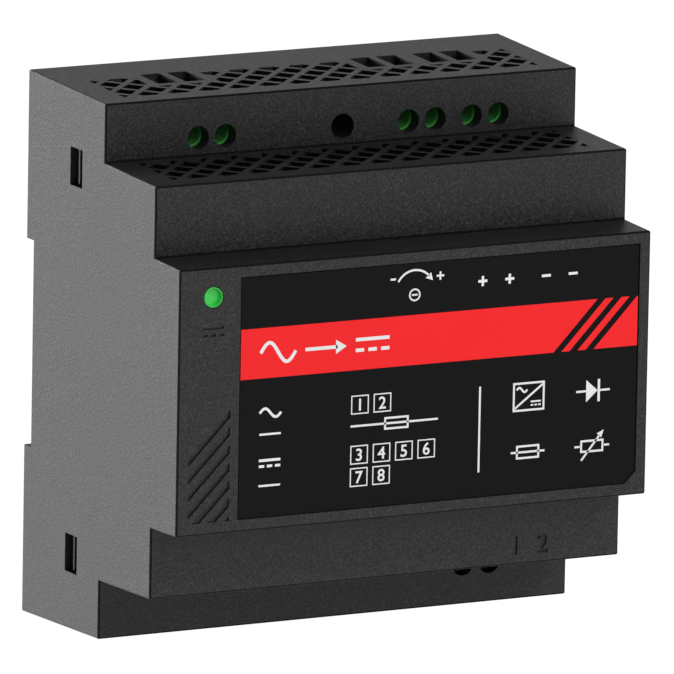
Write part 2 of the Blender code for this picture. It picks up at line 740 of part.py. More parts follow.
def led_and_guide():
    """The lamp on the board and the rod that carries its light to a shallow dish in the front panel."""
    lamp_x, lamp_z = lamp_place()
    lamp_end = SEAT + LAMP_GUIDE * 1.6
    bm = bmesh.new()
    dome = [(SEAT, LAMP_GUIDE), (SEAT + LAMP_GUIDE, LAMP_GUIDE), (lamp_end - LAMP_GUIDE / 5, LAMP_GUIDE * 0.8),
            (lamp_end, LAMP_GUIDE * 0.4)]
    add_turned(bm, "depth", (lamp_x, lamp_z), dome)
    make_object("status_led", bm, material("lamp_green", (0.03, 0.55, 0.07), 0.3))
    bm = bmesh.new()
    rim = LAMP_GUIDE - 2 * LAMP_GAP
    rod = [(lamp_end + CLEARANCE, LAMP_GUIDE), (DEPTH, LAMP_GUIDE), (DEPTH, rim), (DEPTH - LAMP_DISH, rim * 0.85)]
    add_turned(bm, "depth", (lamp_x, lamp_z), rod)
    make_object("led_light_guide", bm, material("lamp_green", (0.03, 0.55, 0.07), 0.3))


def contact_span():
    """How far a contact strip runs from its screw's axis, inwards to its pin and outwards."""
    pin = CAGE_LENGTH / 2 + CONTACT_GAP + CONTACT_THICKNESS
    return -pin, CAGE_LENGTH / 2


def terminal_block(name, x, side):
    """A two-pole moulding: a cavity for each cage, a screw well from the front and a mouth for the wire."""
    bm = bmesh.new()
    low, high = sorted((side * (SCREW_Z - BLOCK_INNER_REACH), side * (SCREW_Z + BLOCK_OUTER_REACH)))
    add_box(bm, (x - BLOCK_WIDTH / 2, x + BLOCK_WIDTH / 2), (SEAT, BLOCK_FRONT), (low, high))
    block = make_object(f"terminal_block_{name}", bm, terminal_plastic())
    poles = (x - POLE_PITCH / 2, x + POLE_PITCH / 2)
    half = CAVITY_WIDTH / 2
    pin_place, strip_end = contact_span()

    bm = bmesh.new()
    inner = side * (SCREW_Z + pin_place - CLEARANCE)
    outer = side * (SCREW_Z + strip_end + 2 * CLEARANCE)
    for pole in poles:
        add_box(bm, (pole - half, pole + half), (SEAT + BLOCK_FLOOR, HEAD_BACK - CLEARANCE), sorted((inner, outer)))
    combine(block, bm)

    bm = bmesh.new()
    well = SCREW_HEAD + 2 * CLEARANCE
    ledge = HEAD_FRONT + CLEARANCE
    for pole in poles:
        centre = (pole, side * SCREW_Z)
        add_turned(bm, "depth", centre, [(HEAD_BACK - 3 * CLEARANCE, well), (ledge, well), (ledge, SCREW_FUNNEL),
                                         (BLOCK_FRONT + WALL, SCREW_FUNNEL)])
    combine(block, bm)

    bm = bmesh.new()
    mouth = SLOT_WIDTH / 2 - CLEARANCE / 2
    start = side * (SCREW_Z + strip_end)
    end = side * (SCREW_Z + BLOCK_OUTER_REACH + WALL)
    leg = CONTACT_THICKNESS + CLEARANCE
    for pole in poles:
        add_box(bm, (pole - mouth, pole + mouth), (CAGE_REST, CAGE_END), sorted((start, end)))
        pin_low, pin_high = sorted((inner, side * (SCREW_Z + pin_place + leg)))
        add_box(bm, (pole - CAGE_WIDTH / 3, pole + CAGE_WIDTH / 3), (SEAT - WALL, CAGE_REST), (pin_low, pin_high))
    combine(block, bm)


def clamp_parts(name, x, side):
    """One pole's cage, screw and contact strip."""
    axis_z = side * SCREW_Z
    pivot = spot(x, HEAD_BACK, axis_z)

    bm = bmesh.new()
    add_box(bm, (x - CAGE_WIDTH / 2, x + CAGE_WIDTH / 2), (CAGE_REST, CAGE_END),
            (axis_z - CAGE_LENGTH / 2, axis_z + CAGE_LENGTH / 2))
    cage = make_object(f"clamp_cage_{name}", bm, plated_metal(), spot(x, CAGE_END, axis_z))
    bm = bmesh.new()
    inner = CAGE_WIDTH / 2 - CAGE_SIDE
    add_box(bm, (x - inner, x + inner), (CAGE_REST + CAGE_SOLE, CAGE_END - CAGE_HEAD),
            (axis_z - CAGE_LENGTH, axis_z + CAGE_LENGTH))
    combine(cage, bm)
    bm = bmesh.new()
    bore = SCREW_SHANK + 2 * CLEARANCE * 0.8
    add_turned(bm, "depth", (x, axis_z), [(CAGE_END - CAGE_HEAD - CLEARANCE, bore), (CAGE_END + WALL, bore)], 12)
    combine(cage, bm)

    bm = bmesh.new()
    tip = CONTACT_FRONT + CLEARANCE
    chamfer = SCREW_SHANK * 0.7
    add_turned(bm, "depth", (x, axis_z), [(tip, chamfer), (tip + CLEARANCE, SCREW_SHANK), (HEAD_BACK, SCREW_SHANK),
                                          (HEAD_BACK, SCREW_HEAD), (HEAD_FRONT - CLEARANCE, SCREW_HEAD),
                                          (HEAD_FRONT, SCREW_HEAD - 2 * CLEARANCE)], 16)
    screw = make_object(f"clamp_screw_{name}", bm, plated_metal(), pivot)
    bm = bmesh.new()
    add_box(bm, (x - SCREW_HEAD, x + SCREW_HEAD), (HEAD_FRONT - DRIVER_SLOT_DEPTH, HEAD_FRONT + WALL),
            (axis_z - DRIVER_SLOT / 2, axis_z + DRIVER_SLOT / 2))
    combine(screw, bm)

    pin_place, strip_end = contact_span()
    back = CONTACT_FRONT - CONTACT_THICKNESS
    pin_end = BOARD_BACK - CONTACT_PIN
    heel = pin_place + CONTACT_THICKNESS
    profile = [(CONTACT_FRONT, pin_place), (CONTACT_FRONT, strip_end), (back, strip_end), (back, heel),
               (pin_end, heel), (pin_end, pin_place)]
    strip = inner - CLEARANCE
    bm = bmesh.new()
    add_prism(bm, "across", [(d, axis_z + side * z) for d, z in profile], x - strip, x + strip)
    make_object(f"contact_{name}", bm, plated_metal())


def main_board():
    half = base_half_width() - TONGUE_THICKNESS - BOARD_SIDE_GAP
    height = base_half_height() - BOARD_END_GAP
    bm = bmesh.new()
    add_box(bm, (-half, half), (BOARD_BACK, BOARD_FRONT), (-height, height))
    board = make_object("main_board", bm, material("board", (0.25, 0.2, 0.08), 0.5))
    bm = bmesh.new()
    for x, z in post_places():
        add_turned(bm, "depth", (x, z), [(BOARD_BACK - WALL, POST_PIN + 2 * CLEARANCE),
                                         (BOARD_FRONT + WALL, POST_PIN + 2 * CLEARANCE)], 12)
    pin_place, _ = contact_span()
    wide = CAGE_WIDTH / 2 - CAGE_SIDE
    for _, x, side in POLES:
        low, high = sorted((side * (SCREW_Z + pin_place - CLEARANCE),
                            side * (SCREW_Z + pin_place + CONTACT_THICKNESS + CLEARANCE)))
        add_box(bm, (x - wide, x + wide), (BOARD_BACK - WALL, BOARD_FRONT + WALL), (low, high))
    combine(board, bm)

    bm = bmesh.new()
    back = RAIL_NOTCH_DEPTH + WALL + CLEARANCE
    posts = post_places()
    reach = max(z for _, z in posts) - POST_DIAMETER / 2 - WALL
    add_box(bm, (-half, half), (back, back + SHEET_THICKNESS), (-reach, reach))
    make_object("insulating_sheet", bm, material("sheet", (0.6, 0.55, 0.4), 0.6))


def trimmer():
    side = TRIMMER_SIDE / 2
    end = SEAT + TRIMMER_HEIGHT
    bm = bmesh.new()
    add_box(bm, (TRIMMER_X - side, TRIMMER_X + side), (SEAT, end), (SCREW_Z - side, SCREW_Z + side))
    body = make_object("trimmer_body", bm, material("trimmer_blue", (0.03, 0.12, 0.4), 0.4))
    bm = bmesh.new()
    bore = TRIMMER_ROTOR + 2 * CLEARANCE
    add_turned(bm, "depth", (TRIMMER_X, SCREW_Z), [(end - TRIMMER_WELL, bore), (end + WALL, bore)])
    combine(body, bm)
    bm = bmesh.new()
    front = end + TRIMMER_RISE
    add_turned(bm, "depth", (TRIMMER_X, SCREW_Z), [(end - TRIMMER_WELL + CLEARANCE, TRIMMER_ROTOR),
                                                   (front - CLEARANCE, TRIMMER_ROTOR),
                                                   (front, TRIMMER_ROTOR - 2 * CLEARANCE)])
    rotor = make_object("trimmer_rotor", bm, material("trimmer_white", (0.7, 0.7, 0.66), 0.4),
                        spot(TRIMMER_X, end, SCREW_Z))
    bm = bmesh.new()
    half = DRIVER_SLOT / 2
    add_box(bm, (TRIMMER_X - half, TRIMMER_X + half), (front - DRIVER_SLOT_DEPTH, front + WALL),
            (SCREW_Z - TRIMMER_ROTOR / 2 + CLEARANCE, SCREW_Z + TRIMMER_ROTOR))
    combine(rotor, bm)


def boxed(name, surface, x, z, width, breadth, height):
    """A moulded component standing on the board, its front edges rounded."""
    bm = bmesh.new()
    add_box(bm, (x - width / 2, x + width / 2), (SEAT, SEAT + height), (z - breadth / 2, z + breadth / 2))
    made = make_object(name, bm, surface)
    rounding = made.modifiers.new("Edges", "BEVEL")
    rounding.width = CLEARANCE
    rounding.segments = 1


def can(name, surface, x, z, diameter, height):
    """An electrolytic capacitor: a can with a rolled groove near its foot and a rounded rim."""
    groove = SEAT + height * 0.12
    ring = CLEARANCE * 2
    bm = bmesh.new()
    add_turned(bm, "depth", (x, z), [(SEAT, diameter - ring), (SEAT + ring / 2, diameter), (groove - ring, diameter),
                                     (groove, diameter - ring), (groove + ring, diameter),
                                     (SEAT + height - ring / 2, diameter), (SEAT + height, diameter - ring)])
    make_object(name, bm, surface)


def disc_profile(centre, thickness, diameter):
    """A dipped disc along its axis, with slanted edges."""
    half = thickness / 2
    flat = half * 0.6
    rim = diameter * 0.8
    return [(centre - half, rim), (centre - flat, diameter), (centre + flat, diameter), (centre + half, rim)]


def line_filter(left, foot):
    """Fuse, thermistor, line capacitor, choke and rectifier, along the foot of the board by the input."""
    row = -SCREW_Z
    bm = bmesh.new()
    rim = FUSE_DIAMETER - 2 * CLEARANCE
    fuse_end = SEAT + FUSE_HEIGHT
    barrel = [(SEAT, rim), (fuse_end - CLEARANCE, FUSE_DIAMETER), (fuse_end, rim)]
    add_turned(bm, "depth", (INPUT_X - FUSE_OFFSET, row), barrel)
    make_object("line_fuse", bm, dark_plastic())
    bm = bmesh.new()
    disc = disc_profile(row, THERMISTOR_THICKNESS, THERMISTOR_DISC)
    add_turned(bm, "up", (INPUT_X - THERMISTOR_OFFSET, SEAT + THERMISTOR_DISC / 2), disc)
    make_object("inrush_thermistor", bm, material("thermistor", (0.05, 0.07, 0.05), 0.5))
    film = material("film_capacitor", (0.55, 0.42, 0.05), 0.4)
    size = (LINE_CAPACITOR_WIDTH, LINE_CAPACITOR_BREADTH, LINE_CAPACITOR_HEIGHT)
    boxed("line_capacitor", film, INPUT_X - LINE_CAPACITOR_OFFSET, row, *size)
    size = (RECTIFIER_WIDTH, RECTIFIER_BREADTH, RECTIFIER_HEIGHT)
    boxed("bridge_rectifier", dark_plastic(), left + RECTIFIER_INSET, foot + RECTIFIER_RISE, *size)

    x = left + CHOKE_INSET
    z = foot + CHOKE_RISE
    start = SEAT + CHOKE_WIRE + CLEARANCE
    end = start + CHOKE_HEIGHT
    bm = bmesh.new()
    add_turned(bm, "depth", (x, z), [(start, CHOKE_OUTER), (end, CHOKE_OUTER)], 24)
    core = make_object("line_choke_core", bm, material("ferrite", (0.06, 0.06, 0.065), 0.7))
    bm = bmesh.new()
    add_turned(bm, "depth", (x, z), [(start - WALL, CHOKE_BORE), (end + WALL, CHOKE_BORE)])
    combine(core, bm)
    # Each winding is a sleeve over one half of the ring
    gap = CLEARANCE + CHOKE_WIRE
    for name, hand in (("a", -1), ("b", 1)):
        bm = bmesh.new()
        sleeve = sector(x, z, hand, CHOKE_OUTER / 2 + gap, CHOKE_BORE / 2 - gap)
        add_prism(bm, "depth", sleeve, start - gap, end + gap)
        winding = make_object(f"line_choke_winding_{name}", bm, material("copper", (0.6, 0.25, 0.1), 0.35, 1.0))
        bm = bmesh.new()
        tunnel = sector(x, z, hand, CHOKE_OUTER / 2 + CLEARANCE, CHOKE_BORE / 2 - CLEARANCE, 75)
        add_prism(bm, "depth", tunnel, start - CLEARANCE, end + CLEARANCE)
        combine(winding, bm)


def sector(x, z, hand, outer, inner, reach=55):
    """Outline of a ring's sector, across and up, centred on the left or the right."""
    angles = [math.radians(-reach + 2 * reach * i / 8) for i in range(9)]
    rim = [(x + hand * outer * math.cos(a), z + outer * math.sin(a)) for a in angles]
    bore = [(x + hand * inner * math.cos(a), z + inner * math.sin(a)) for a in reversed(angles)]
    return rim + bore


def power_stage(left, right):
    """Bulk capacitor, switch and its heat sink, transformer and output rectifier, in the middle of the board."""
    sleeve = material("capacitor_sleeve", (0.03, 0.03, 0.05), 0.35)
    can("bulk_capacitor", sleeve, left + BULK_INSET, BULK_Z, BULK_DIAMETER, BULK_HEIGHT)
    metal = material("heat_sink", (0.75, 0.75, 0.76), 0.4, 1.0)
    sink_right = right - SINK_INSET
    sink_left = sink_right - PRIMARY_SINK_WIDTH
    foot = PRIMARY_SINK_Z - SINK_FIN
    plate = [(sink_left, foot), (sink_left + SINK_THICKNESS, foot), (sink_left + SINK_THICKNESS, PRIMARY_SINK_Z),
             (sink_right - SINK_THICKNESS, PRIMARY_SINK_Z), (sink_right - SINK_THICKNESS, foot), (sink_right, foot),
             (sink_right, PRIMARY_SINK_Z + SINK_THICKNESS), (sink_left, PRIMARY_SINK_Z + SINK_THICKNESS)]
    bm = bmesh.new()
    add_prism(bm, "depth", plate, SEAT, SEAT + PRIMARY_SINK_HEIGHT)
    make_object("primary_heat_sink", bm, metal)
    front = PRIMARY_SINK_Z + SINK_THICKNESS + CLEARANCE
    transistor("power_switch", (sink_left + sink_right) / 2, front, False)

    bm = bmesh.new()
    half = OUTPUT_SINK_LENGTH / 2
    across = (sink_right, sink_right + SINK_THICKNESS)
    add_box(bm, across, (SEAT, SEAT + OUTPUT_SINK_HEIGHT), (-half, half))
    make_object("output_heat_sink", bm, metal)
    transistor("output_rectifier", sink_right - CLEARANCE, 0.0, True)
    transformer()
    bm = bmesh.new()
    disc = disc_profile(right - SAFETY_INSET, SAFETY_THICKNESS, SAFETY_DISC)
    add_turned(bm, "across", (SEAT + SAFETY_DISC / 2, SAFETY_Z), disc)
    make_object("safety_capacitor", bm, material("ceramic_blue", (0.05, 0.2, 0.5), 0.35))


def transistor(name, x, z, turned):
    """A power package with its metal tab against a heat sink: behind it in Z, or turned to face -X."""
    neck = SEAT + PACKAGE_NECK
    top = SEAT + PACKAGE_HEIGHT
    profile = [(SEAT, 0.0), (top, 0.0), (top, PACKAGE_TAB), (neck, PACKAGE_TAB),
               (neck - CLEARANCE, PACKAGE_THICKNESS), (SEAT, PACKAGE_THICKNESS)]
    half = PACKAGE_WIDTH / 2
    bm = bmesh.new()
    if turned:
        add_prism(bm, "up", [(x - thick, depth) for depth, thick in profile], z - half, z + half)
    else:
        add_prism(bm, "across", [(depth, z + thick) for depth, thick in profile], x - half, x + half)
    make_object(name, bm, dark_plastic())


def transformer():
    """A ferrite core of two limbs round a flanged, wound bobbin."""
    x, z = TRANSFORMER_X, TRANSFORMER_Z
    half = TRANSFORMER_WIDTH / 2
    thick = TRANSFORMER_THICKNESS / 2
    low = SEAT + TRANSFORMER_LIMB
    high = SEAT + TRANSFORMER_HEIGHT - TRANSFORMER_LIMB
    bm = bmesh.new()
    add_box(bm, (x - half, x + half), (SEAT, high + TRANSFORMER_LIMB), (z - thick, z + thick))
    core = make_object("transformer_core", bm, material("ferrite", (0.06, 0.06, 0.065), 0.7))
    bm = bmesh.new()
    for hand in (-1, 1):
        across = sorted((x + hand * TRANSFORMER_POST / 2, x + hand * (half - TRANSFORMER_LIMB)))
        add_box(bm, across, (low, high), (z - 2 * thick, z + 2 * thick))
    combine(core, bm)

    wide = half - TRANSFORMER_LIMB - CLEARANCE
    deep = thick + BOBBIN_OVERHANG
    waist = BOBBIN_FLANGE / 2
    flange = rectangle(x - wide, x + wide, z - deep, z + deep)
    wound = rectangle(x - wide + waist, x + wide - waist, z - deep + waist, z + deep - waist)
    start = low + CLEARANCE
    end = high - CLEARANCE
    bm = bmesh.new()
    add_loft(bm, "depth", [(start, flange), (start + BOBBIN_FLANGE, flange), (start + BOBBIN_FLANGE, wound),
                           (end - BOBBIN_FLANGE, wound), (end - BOBBIN_FLANGE, flange), (end, flange)])
    bobbin = make_object("transformer_bobbin", bm, material("winding_tape", (0.6, 0.45, 0.05), 0.45))
    bm = bmesh.new()
    tube = TRANSFORMER_POST / 2 + CLEARANCE
    hole = thick + CLEARANCE
    add_box(bm, (x - tube, x + tube), (SEAT, end + WALL), (z - hole, z + hole))
    combine(bobbin, bm)


def output_stage(left, right):
    """Output capacitors and choke, optocoupler and controller, under the output terminals."""
    sleeve = material("capacitor_sleeve", (0.03, 0.03, 0.05), 0.35)
    for index in (0, 1):
        x = right - OUTPUT_CAN_INSET - index * OUTPUT_CAN_PITCH
        can(f"output_capacitor_{index + 1}", sleeve, x, OUTPUT_ROW, OUTPUT_CAN_DIAMETER, OUTPUT_CAN_HEIGHT)
    bm = bmesh.new()
    end = SEAT + DRUM_HEIGHT
    drum = [(SEAT, DRUM_DIAMETER), (SEAT + DRUM_RIM, DRUM_DIAMETER), (SEAT + DRUM_RIM, DRUM_WAIST),
            (end - DRUM_RIM, DRUM_WAIST), (end - DRUM_RIM, DRUM_DIAMETER), (end, DRUM_DIAMETER)]
    add_turned(bm, "depth", (DRUM_X, OUTPUT_ROW), drum)
    make_object("output_choke", bm, material("ferrite", (0.06, 0.06, 0.065), 0.7))
    boxed("optocoupler", dark_plastic(), OPTO_X, OUTPUT_ROW, OPTO_WIDTH, CHIP_BREADTH, CHIP_HEIGHT)
    controller_x = left + CONTROLLER_INSET
    boxed("controller_chip", dark_plastic(), controller_x, OUTPUT_ROW, CONTROLLER_WIDTH, CHIP_BREADTH, CHIP_HEIGHT)


def build():
    for old in list(bpy.data.objects):
        bpy.data.objects.remove(old)
    front_shell()
    rear_base()
    rail_latch()
    latch_spring()
    front_label()
    led_and_guide()
    main_board()
    trimmer()
    for name, x, side in PAIRS:
        terminal_block(name, x, side)
    for name, x, side in POLES:
        clamp_parts(name, x, side)
    right = base_half_width() - TONGUE_THICKNESS - BOARD_SIDE_GAP
    foot = BOARD_END_GAP - base_half_height()
    line_filter(-right, foot)
    power_stage(-right, right)
    output_stage(-right, right)


build()
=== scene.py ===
import math

import bmesh
import bpy
import numpy as np
from mathutils import Matrix, Vector


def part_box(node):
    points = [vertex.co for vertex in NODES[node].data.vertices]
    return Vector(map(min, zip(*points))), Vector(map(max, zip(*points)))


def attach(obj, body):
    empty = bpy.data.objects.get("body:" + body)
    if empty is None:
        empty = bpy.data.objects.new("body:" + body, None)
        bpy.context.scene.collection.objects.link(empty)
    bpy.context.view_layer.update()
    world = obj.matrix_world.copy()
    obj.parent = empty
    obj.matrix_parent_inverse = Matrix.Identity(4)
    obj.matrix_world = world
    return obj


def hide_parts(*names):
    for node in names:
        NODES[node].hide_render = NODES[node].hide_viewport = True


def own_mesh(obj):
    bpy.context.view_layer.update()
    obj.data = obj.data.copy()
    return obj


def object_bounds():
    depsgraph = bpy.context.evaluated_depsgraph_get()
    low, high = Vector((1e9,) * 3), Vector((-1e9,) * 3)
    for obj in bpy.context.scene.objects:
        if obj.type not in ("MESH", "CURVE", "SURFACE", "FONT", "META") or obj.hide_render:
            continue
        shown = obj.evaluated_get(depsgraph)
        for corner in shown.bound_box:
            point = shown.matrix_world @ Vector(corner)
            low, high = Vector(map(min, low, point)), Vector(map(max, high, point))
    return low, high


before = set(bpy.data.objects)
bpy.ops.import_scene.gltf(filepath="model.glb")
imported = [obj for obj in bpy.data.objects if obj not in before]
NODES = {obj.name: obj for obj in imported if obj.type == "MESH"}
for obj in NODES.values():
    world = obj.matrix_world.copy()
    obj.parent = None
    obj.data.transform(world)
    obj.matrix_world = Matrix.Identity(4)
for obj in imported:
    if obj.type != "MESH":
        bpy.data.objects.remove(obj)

cad_low, cad_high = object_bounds()
MM = 0.001

# Places on the case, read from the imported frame
PANEL_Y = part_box("front_shell")[0][1]
LABEL_LOW, LABEL_HIGH = (np.array(corner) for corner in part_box("front_label"))
LABEL_Y = LABEL_LOW[1]
LAMP_LOW, LAMP_HIGH = (np.array(corner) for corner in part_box("led_light_guide"))
SHOULDER_SETBACK = 9.1 * MM
SHOULDER_Y = PANEL_Y + SHOULDER_SETBACK


def screw_x(pole):
    """Where a pole's screw stands across the case."""
    low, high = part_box(f"clamp_screw_{pole}")
    return (low[0] + high[0]) / 2


# Mesh helpers: every new piece is a set of points and faces worked out as arrays

def mesh_object(name, points, faces, body="housing", surface=None):
    """An object of these points and faces that faces outwards and rides on a body, if one is named."""
    mesh = bpy.data.meshes.new(name)
    mesh.from_pydata(np.asarray(points).tolist(), [], [tuple(face) for face in faces])
    bm = bmesh.new()
    bm.from_mesh(mesh)
    bmesh.ops.recalc_face_normals(bm, faces=bm.faces)
    bm.to_mesh(mesh)
    bm.free()
    made = bpy.data.objects.new(name, mesh)
    bpy.context.scene.collection.objects.link(made)
    if surface:
        mesh.materials.append(surface)
    if body:
        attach(made, body)
    return made


def plates(outlines, front, thickness):
    """Flat plates that face the front: each outline, in across and up, is carried back by the thickness."""
    points, faces = [], []
    for outline in outlines:
        flat = np.asarray(outline, float)
        count = len(flat)
        start = sum(len(p) for p in points)
        near = np.column_stack([flat[:, 0], np.full(count, front), flat[:, 1]])
        far = near + (0.0, thickness, 0.0)
        points += [near, far]
        index = np.arange(count)
        following = (index + 1) % count
        faces.append(tuple(start + index))
        faces.append(tuple(start + count + index[::-1]))
        sides = np.column_stack([index, following, following + count, index + count]) + start
        faces += [tuple(side) for side in sides]
    return np.vstack(points), faces


def stroke(path, width, closed=False):
    """Outline of a drawn line: the path's points moved half a width to either side along its normals."""
    line = np.asarray(path, float)
    if closed:
        ahead = np.roll(line, -1, axis=0) - np.roll(line, 1, axis=0)
    else:
        ahead = np.gradient(line, axis=0)
    normal = np.column_stack([-ahead[:, 1], ahead[:, 0]])
    normal /= np.linalg.norm(normal, axis=1, keepdims=True)
    left = line + normal * width / 2
    right = line - normal * width / 2
    if not closed:
        return [np.vstack([left, right[::-1]])]
    following = np.roll(np.arange(len(line)), -1)
    return list(np.stack([left, left[following], right[following], right], axis=1))


def bar(x0, z0, x1, z1, width):
    """A straight drawn line: a stroke between two points."""
    return stroke(np.linspace((x0, z0), (x1, z1), 2), width)


def arc(x, z, radius_x, radius_z, start, end, count=24):
    """Points of an elliptic arc between two angles in degrees."""
    turn = np.radians(np.linspace(start, end, count))
    return np.column_stack([x + radius_x * np.cos(turn), z + radius_z * np.sin(turn)])


def box_lines(x0, z0, x1, z1, width):
    """A drawn rectangle: two long bars and two bars between them."""
    half = width / 2
    low, high = z0 + half, z1 - half
    lines = bar(x0, z0, x1, z0, width) + bar(x0, z1, x1, z1, width)
    return lines + bar(x0 + half, low, x0 + half, high, width) + bar(x1 - half, low, x1 - half, high, width)


def sine(x0, x1, z, height, width):
    """A drawn sine wave of one period."""
    share = np.linspace(0.0, 1.0, 33)
    return stroke(np.column_stack([x0 + (x1 - x0) * share, z + height * np.sin(2 * np.pi * share)]), width)


def direct_sign(x0, x1, z, gap, width):
    """The sign for direct current: an unbroken bar over three short ones."""
    dash, pitch = 2, 3
    step = (x1 - x0) / (dash + 2 * pitch)
    lines = bar(x0, z + gap, x1, z + gap, width)
    for index in range(3):
        start = index * pitch
        lines += bar(x0 + start * step, z - gap, x0 + (start + dash) * step, z - gap, width)
    return lines


def plus_sign(x, z, arm, gap, width):
    """A plus: a bar across, and a short one above and below it."""
    lines = bar(x - arm, z, x + arm, z, width)
    return lines + bar(x, z + gap, x, z + arm, width) + bar(x, z - arm, x, z - gap, width)


def arrow_head(tip, one, other):
    """A filled triangle: its tip, and two corners given from the tip in millimetres."""
    return [[tip, tip + np.array(one) * MM, tip + np.array(other) * MM]]


def figure_outlines(text, x, z, height, front, thickness):
    """Plain figures: Blender's own font made a mesh, centred across at x with its foot at z."""
    figure_share, weight = 0.69, 0.02
    curve = bpy.data.curves.new("figures", "FONT")
    curve.body = text
    curve.align_x = "CENTER"
    curve.size = height / figure_share
    curve.offset = height * weight
    curve.extrude = thickness / 2
    curve.resolution_u = 4
    made = bpy.data.objects.new("figures", curve)
    bpy.context.scene.collection.objects.link(made)
    bpy.context.view_layer.update()
    mesh = bpy.data.meshes.new_from_object(made.evaluated_get(bpy.context.evaluated_depsgraph_get()))
    bpy.data.objects.remove(made)
    stand = Matrix.Translation((x, front + thickness / 2, z)) @ Matrix.Rotation(math.pi / 2, 4, "X")
    mesh.transform(stand)
    points = np.empty(len(mesh.vertices) * 3)
    mesh.vertices.foreach_get("co", points)
    faces = [tuple(face.vertices) for face in mesh.polygons]
    return points.reshape(-1, 3), faces


def joined(parts):
    """One array of points and one list of faces from several."""
    points, faces, start = [], [], 0
    for some_points, some_faces in parts:
        points.append(some_points)
        faces += [tuple(i + start for i in face) for face in some_faces]
        start += len(some_points)
    return np.vstack(points), faces


# Shared effects

def group_socket(group, name, kind, into, value=None):
    """A named input or output of a group."""
    made = group.interface.new_socket(name, in_out="INPUT" if into else "OUTPUT", socket_type=kind)
    if value is not None:
        made.default_value = value


def new_group(name):
    """An empty shader group with its input and output nodes."""
    group = bpy.data.node_groups.new(name, "ShaderNodeTree")
    return group, group.nodes.new("NodeGroupInput"), group.nodes.new("NodeGroupOutput")


def maths(tree, operation, *values):
    """A Math node on numbers and sockets; its result."""
    node = tree.nodes.new("ShaderNodeMath")
    node.operation = operation
    for place, value in enumerate(values):
        if isinstance(value, (int, float)):
            node.inputs[place].default_value = value
        else:
            tree.links.new(value, node.inputs[place])
    return node.outputs[0]


def moulded_grain_group():
    """Spark-eroded mould texture: pits of two sizes, as a height, a shade about 1 and a roughness change."""
    fine_share, pit_share, middle_height = 0.7, 0.5, 0.62
    broad_scale, broad_swing = 45.0, 0.12
    shade_swing, dull_swing, darkest = 3.0, -0.25, 0.1
    group, given, result = new_group("moulded grain")
    group_socket(group, "Vector", "NodeSocketVector", True)
    group_socket(group, "Grain size", "NodeSocketFloat", True, 0.25 * MM)
    group_socket(group, "Contrast", "NodeSocketFloat", True, 0.2)
    group_socket(group, "Height", "NodeSocketFloat", False)
    group_socket(group, "Shade", "NodeSocketFloat", False)
    group_socket(group, "Dulling", "NodeSocketFloat", False)
    scale = maths(group, "DIVIDE", 1.0, given.outputs["Grain size"])
    fine = group.nodes.new("ShaderNodeTexNoise")
    fine.inputs["Detail"].default_value = 2.0
    fine.inputs["Roughness"].default_value = 0.6
    pits = group.nodes.new("ShaderNodeTexVoronoi")
    broad = group.nodes.new("ShaderNodeTexNoise")
    broad.inputs["Scale"].default_value = broad_scale
    broad.inputs["Detail"].default_value = 3.0
    for node in (fine, pits, broad):
        group.links.new(given.outputs["Vector"], node.inputs["Vector"])
    group.links.new(scale, fine.inputs["Scale"])
    group.links.new(maths(group, "MULTIPLY", scale, 0.8), pits.inputs["Scale"])
    height = maths(group, "ADD", maths(group, "MULTIPLY", fine.outputs["Fac"], fine_share),
                   maths(group, "MULTIPLY", pits.outputs["Distance"], pit_share))
    group.links.new(height, result.inputs["Height"])
    off_middle = maths(group, "SUBTRACT", height, middle_height)
    swing = maths(group, "MULTIPLY", off_middle, given.outputs["Contrast"])
    drift = maths(group, "MULTIPLY", maths(group, "SUBTRACT", broad.outputs["Fac"], 0.5), broad_swing)
    shade = maths(group, "ADD", 1.0, maths(group, "ADD", maths(group, "MULTIPLY", swing, shade_swing), drift))
    group.links.new(maths(group, "MAXIMUM", shade, darkest), result.inputs["Shade"])
    group.links.new(maths(group, "MULTIPLY", off_middle, dull_swing), result.inputs["Dulling"])
    return group


def surface_wear_group():
    """Drawn metal: streaks broken up by specks, as a mask and as a height."""
    group, given, result = new_group("surface wear")
    group_socket(group, "Vector", "NodeSocketVector", True)
    group_socket(group, "Streak length", "NodeSocketFloat", True, 4 * MM)
    group_socket(group, "Mask", "NodeSocketFloat", False)
    group_socket(group, "Height", "NodeSocketFloat", False)
    scale = maths(group, "DIVIDE", 1.0, given.outputs["Streak length"])
    stretch = group.nodes.new("ShaderNodeMapping")
    stretch.inputs["Scale"].default_value = (9.0, 1.0, 9.0)
    group.links.new(given.outputs["Vector"], stretch.inputs["Vector"])
    streaks = group.nodes.new("ShaderNodeTexNoise")
    streaks.inputs["Detail"].default_value = 4.0
    group.links.new(stretch.outputs["Vector"], streaks.inputs["Vector"])
    group.links.new(scale, streaks.inputs["Scale"])
    specks = group.nodes.new("ShaderNodeTexNoise")
    specks.inputs["Scale"].default_value = 900.0
    group.links.new(given.outputs["Vector"], specks.inputs["Vector"])
    mask = maths(group, "MULTIPLY", streaks.outputs["Fac"], specks.outputs["Fac"])
    group.links.new(mask, result.inputs["Mask"])
    group.links.new(streaks.outputs["Fac"], result.inputs["Height"])
    return group


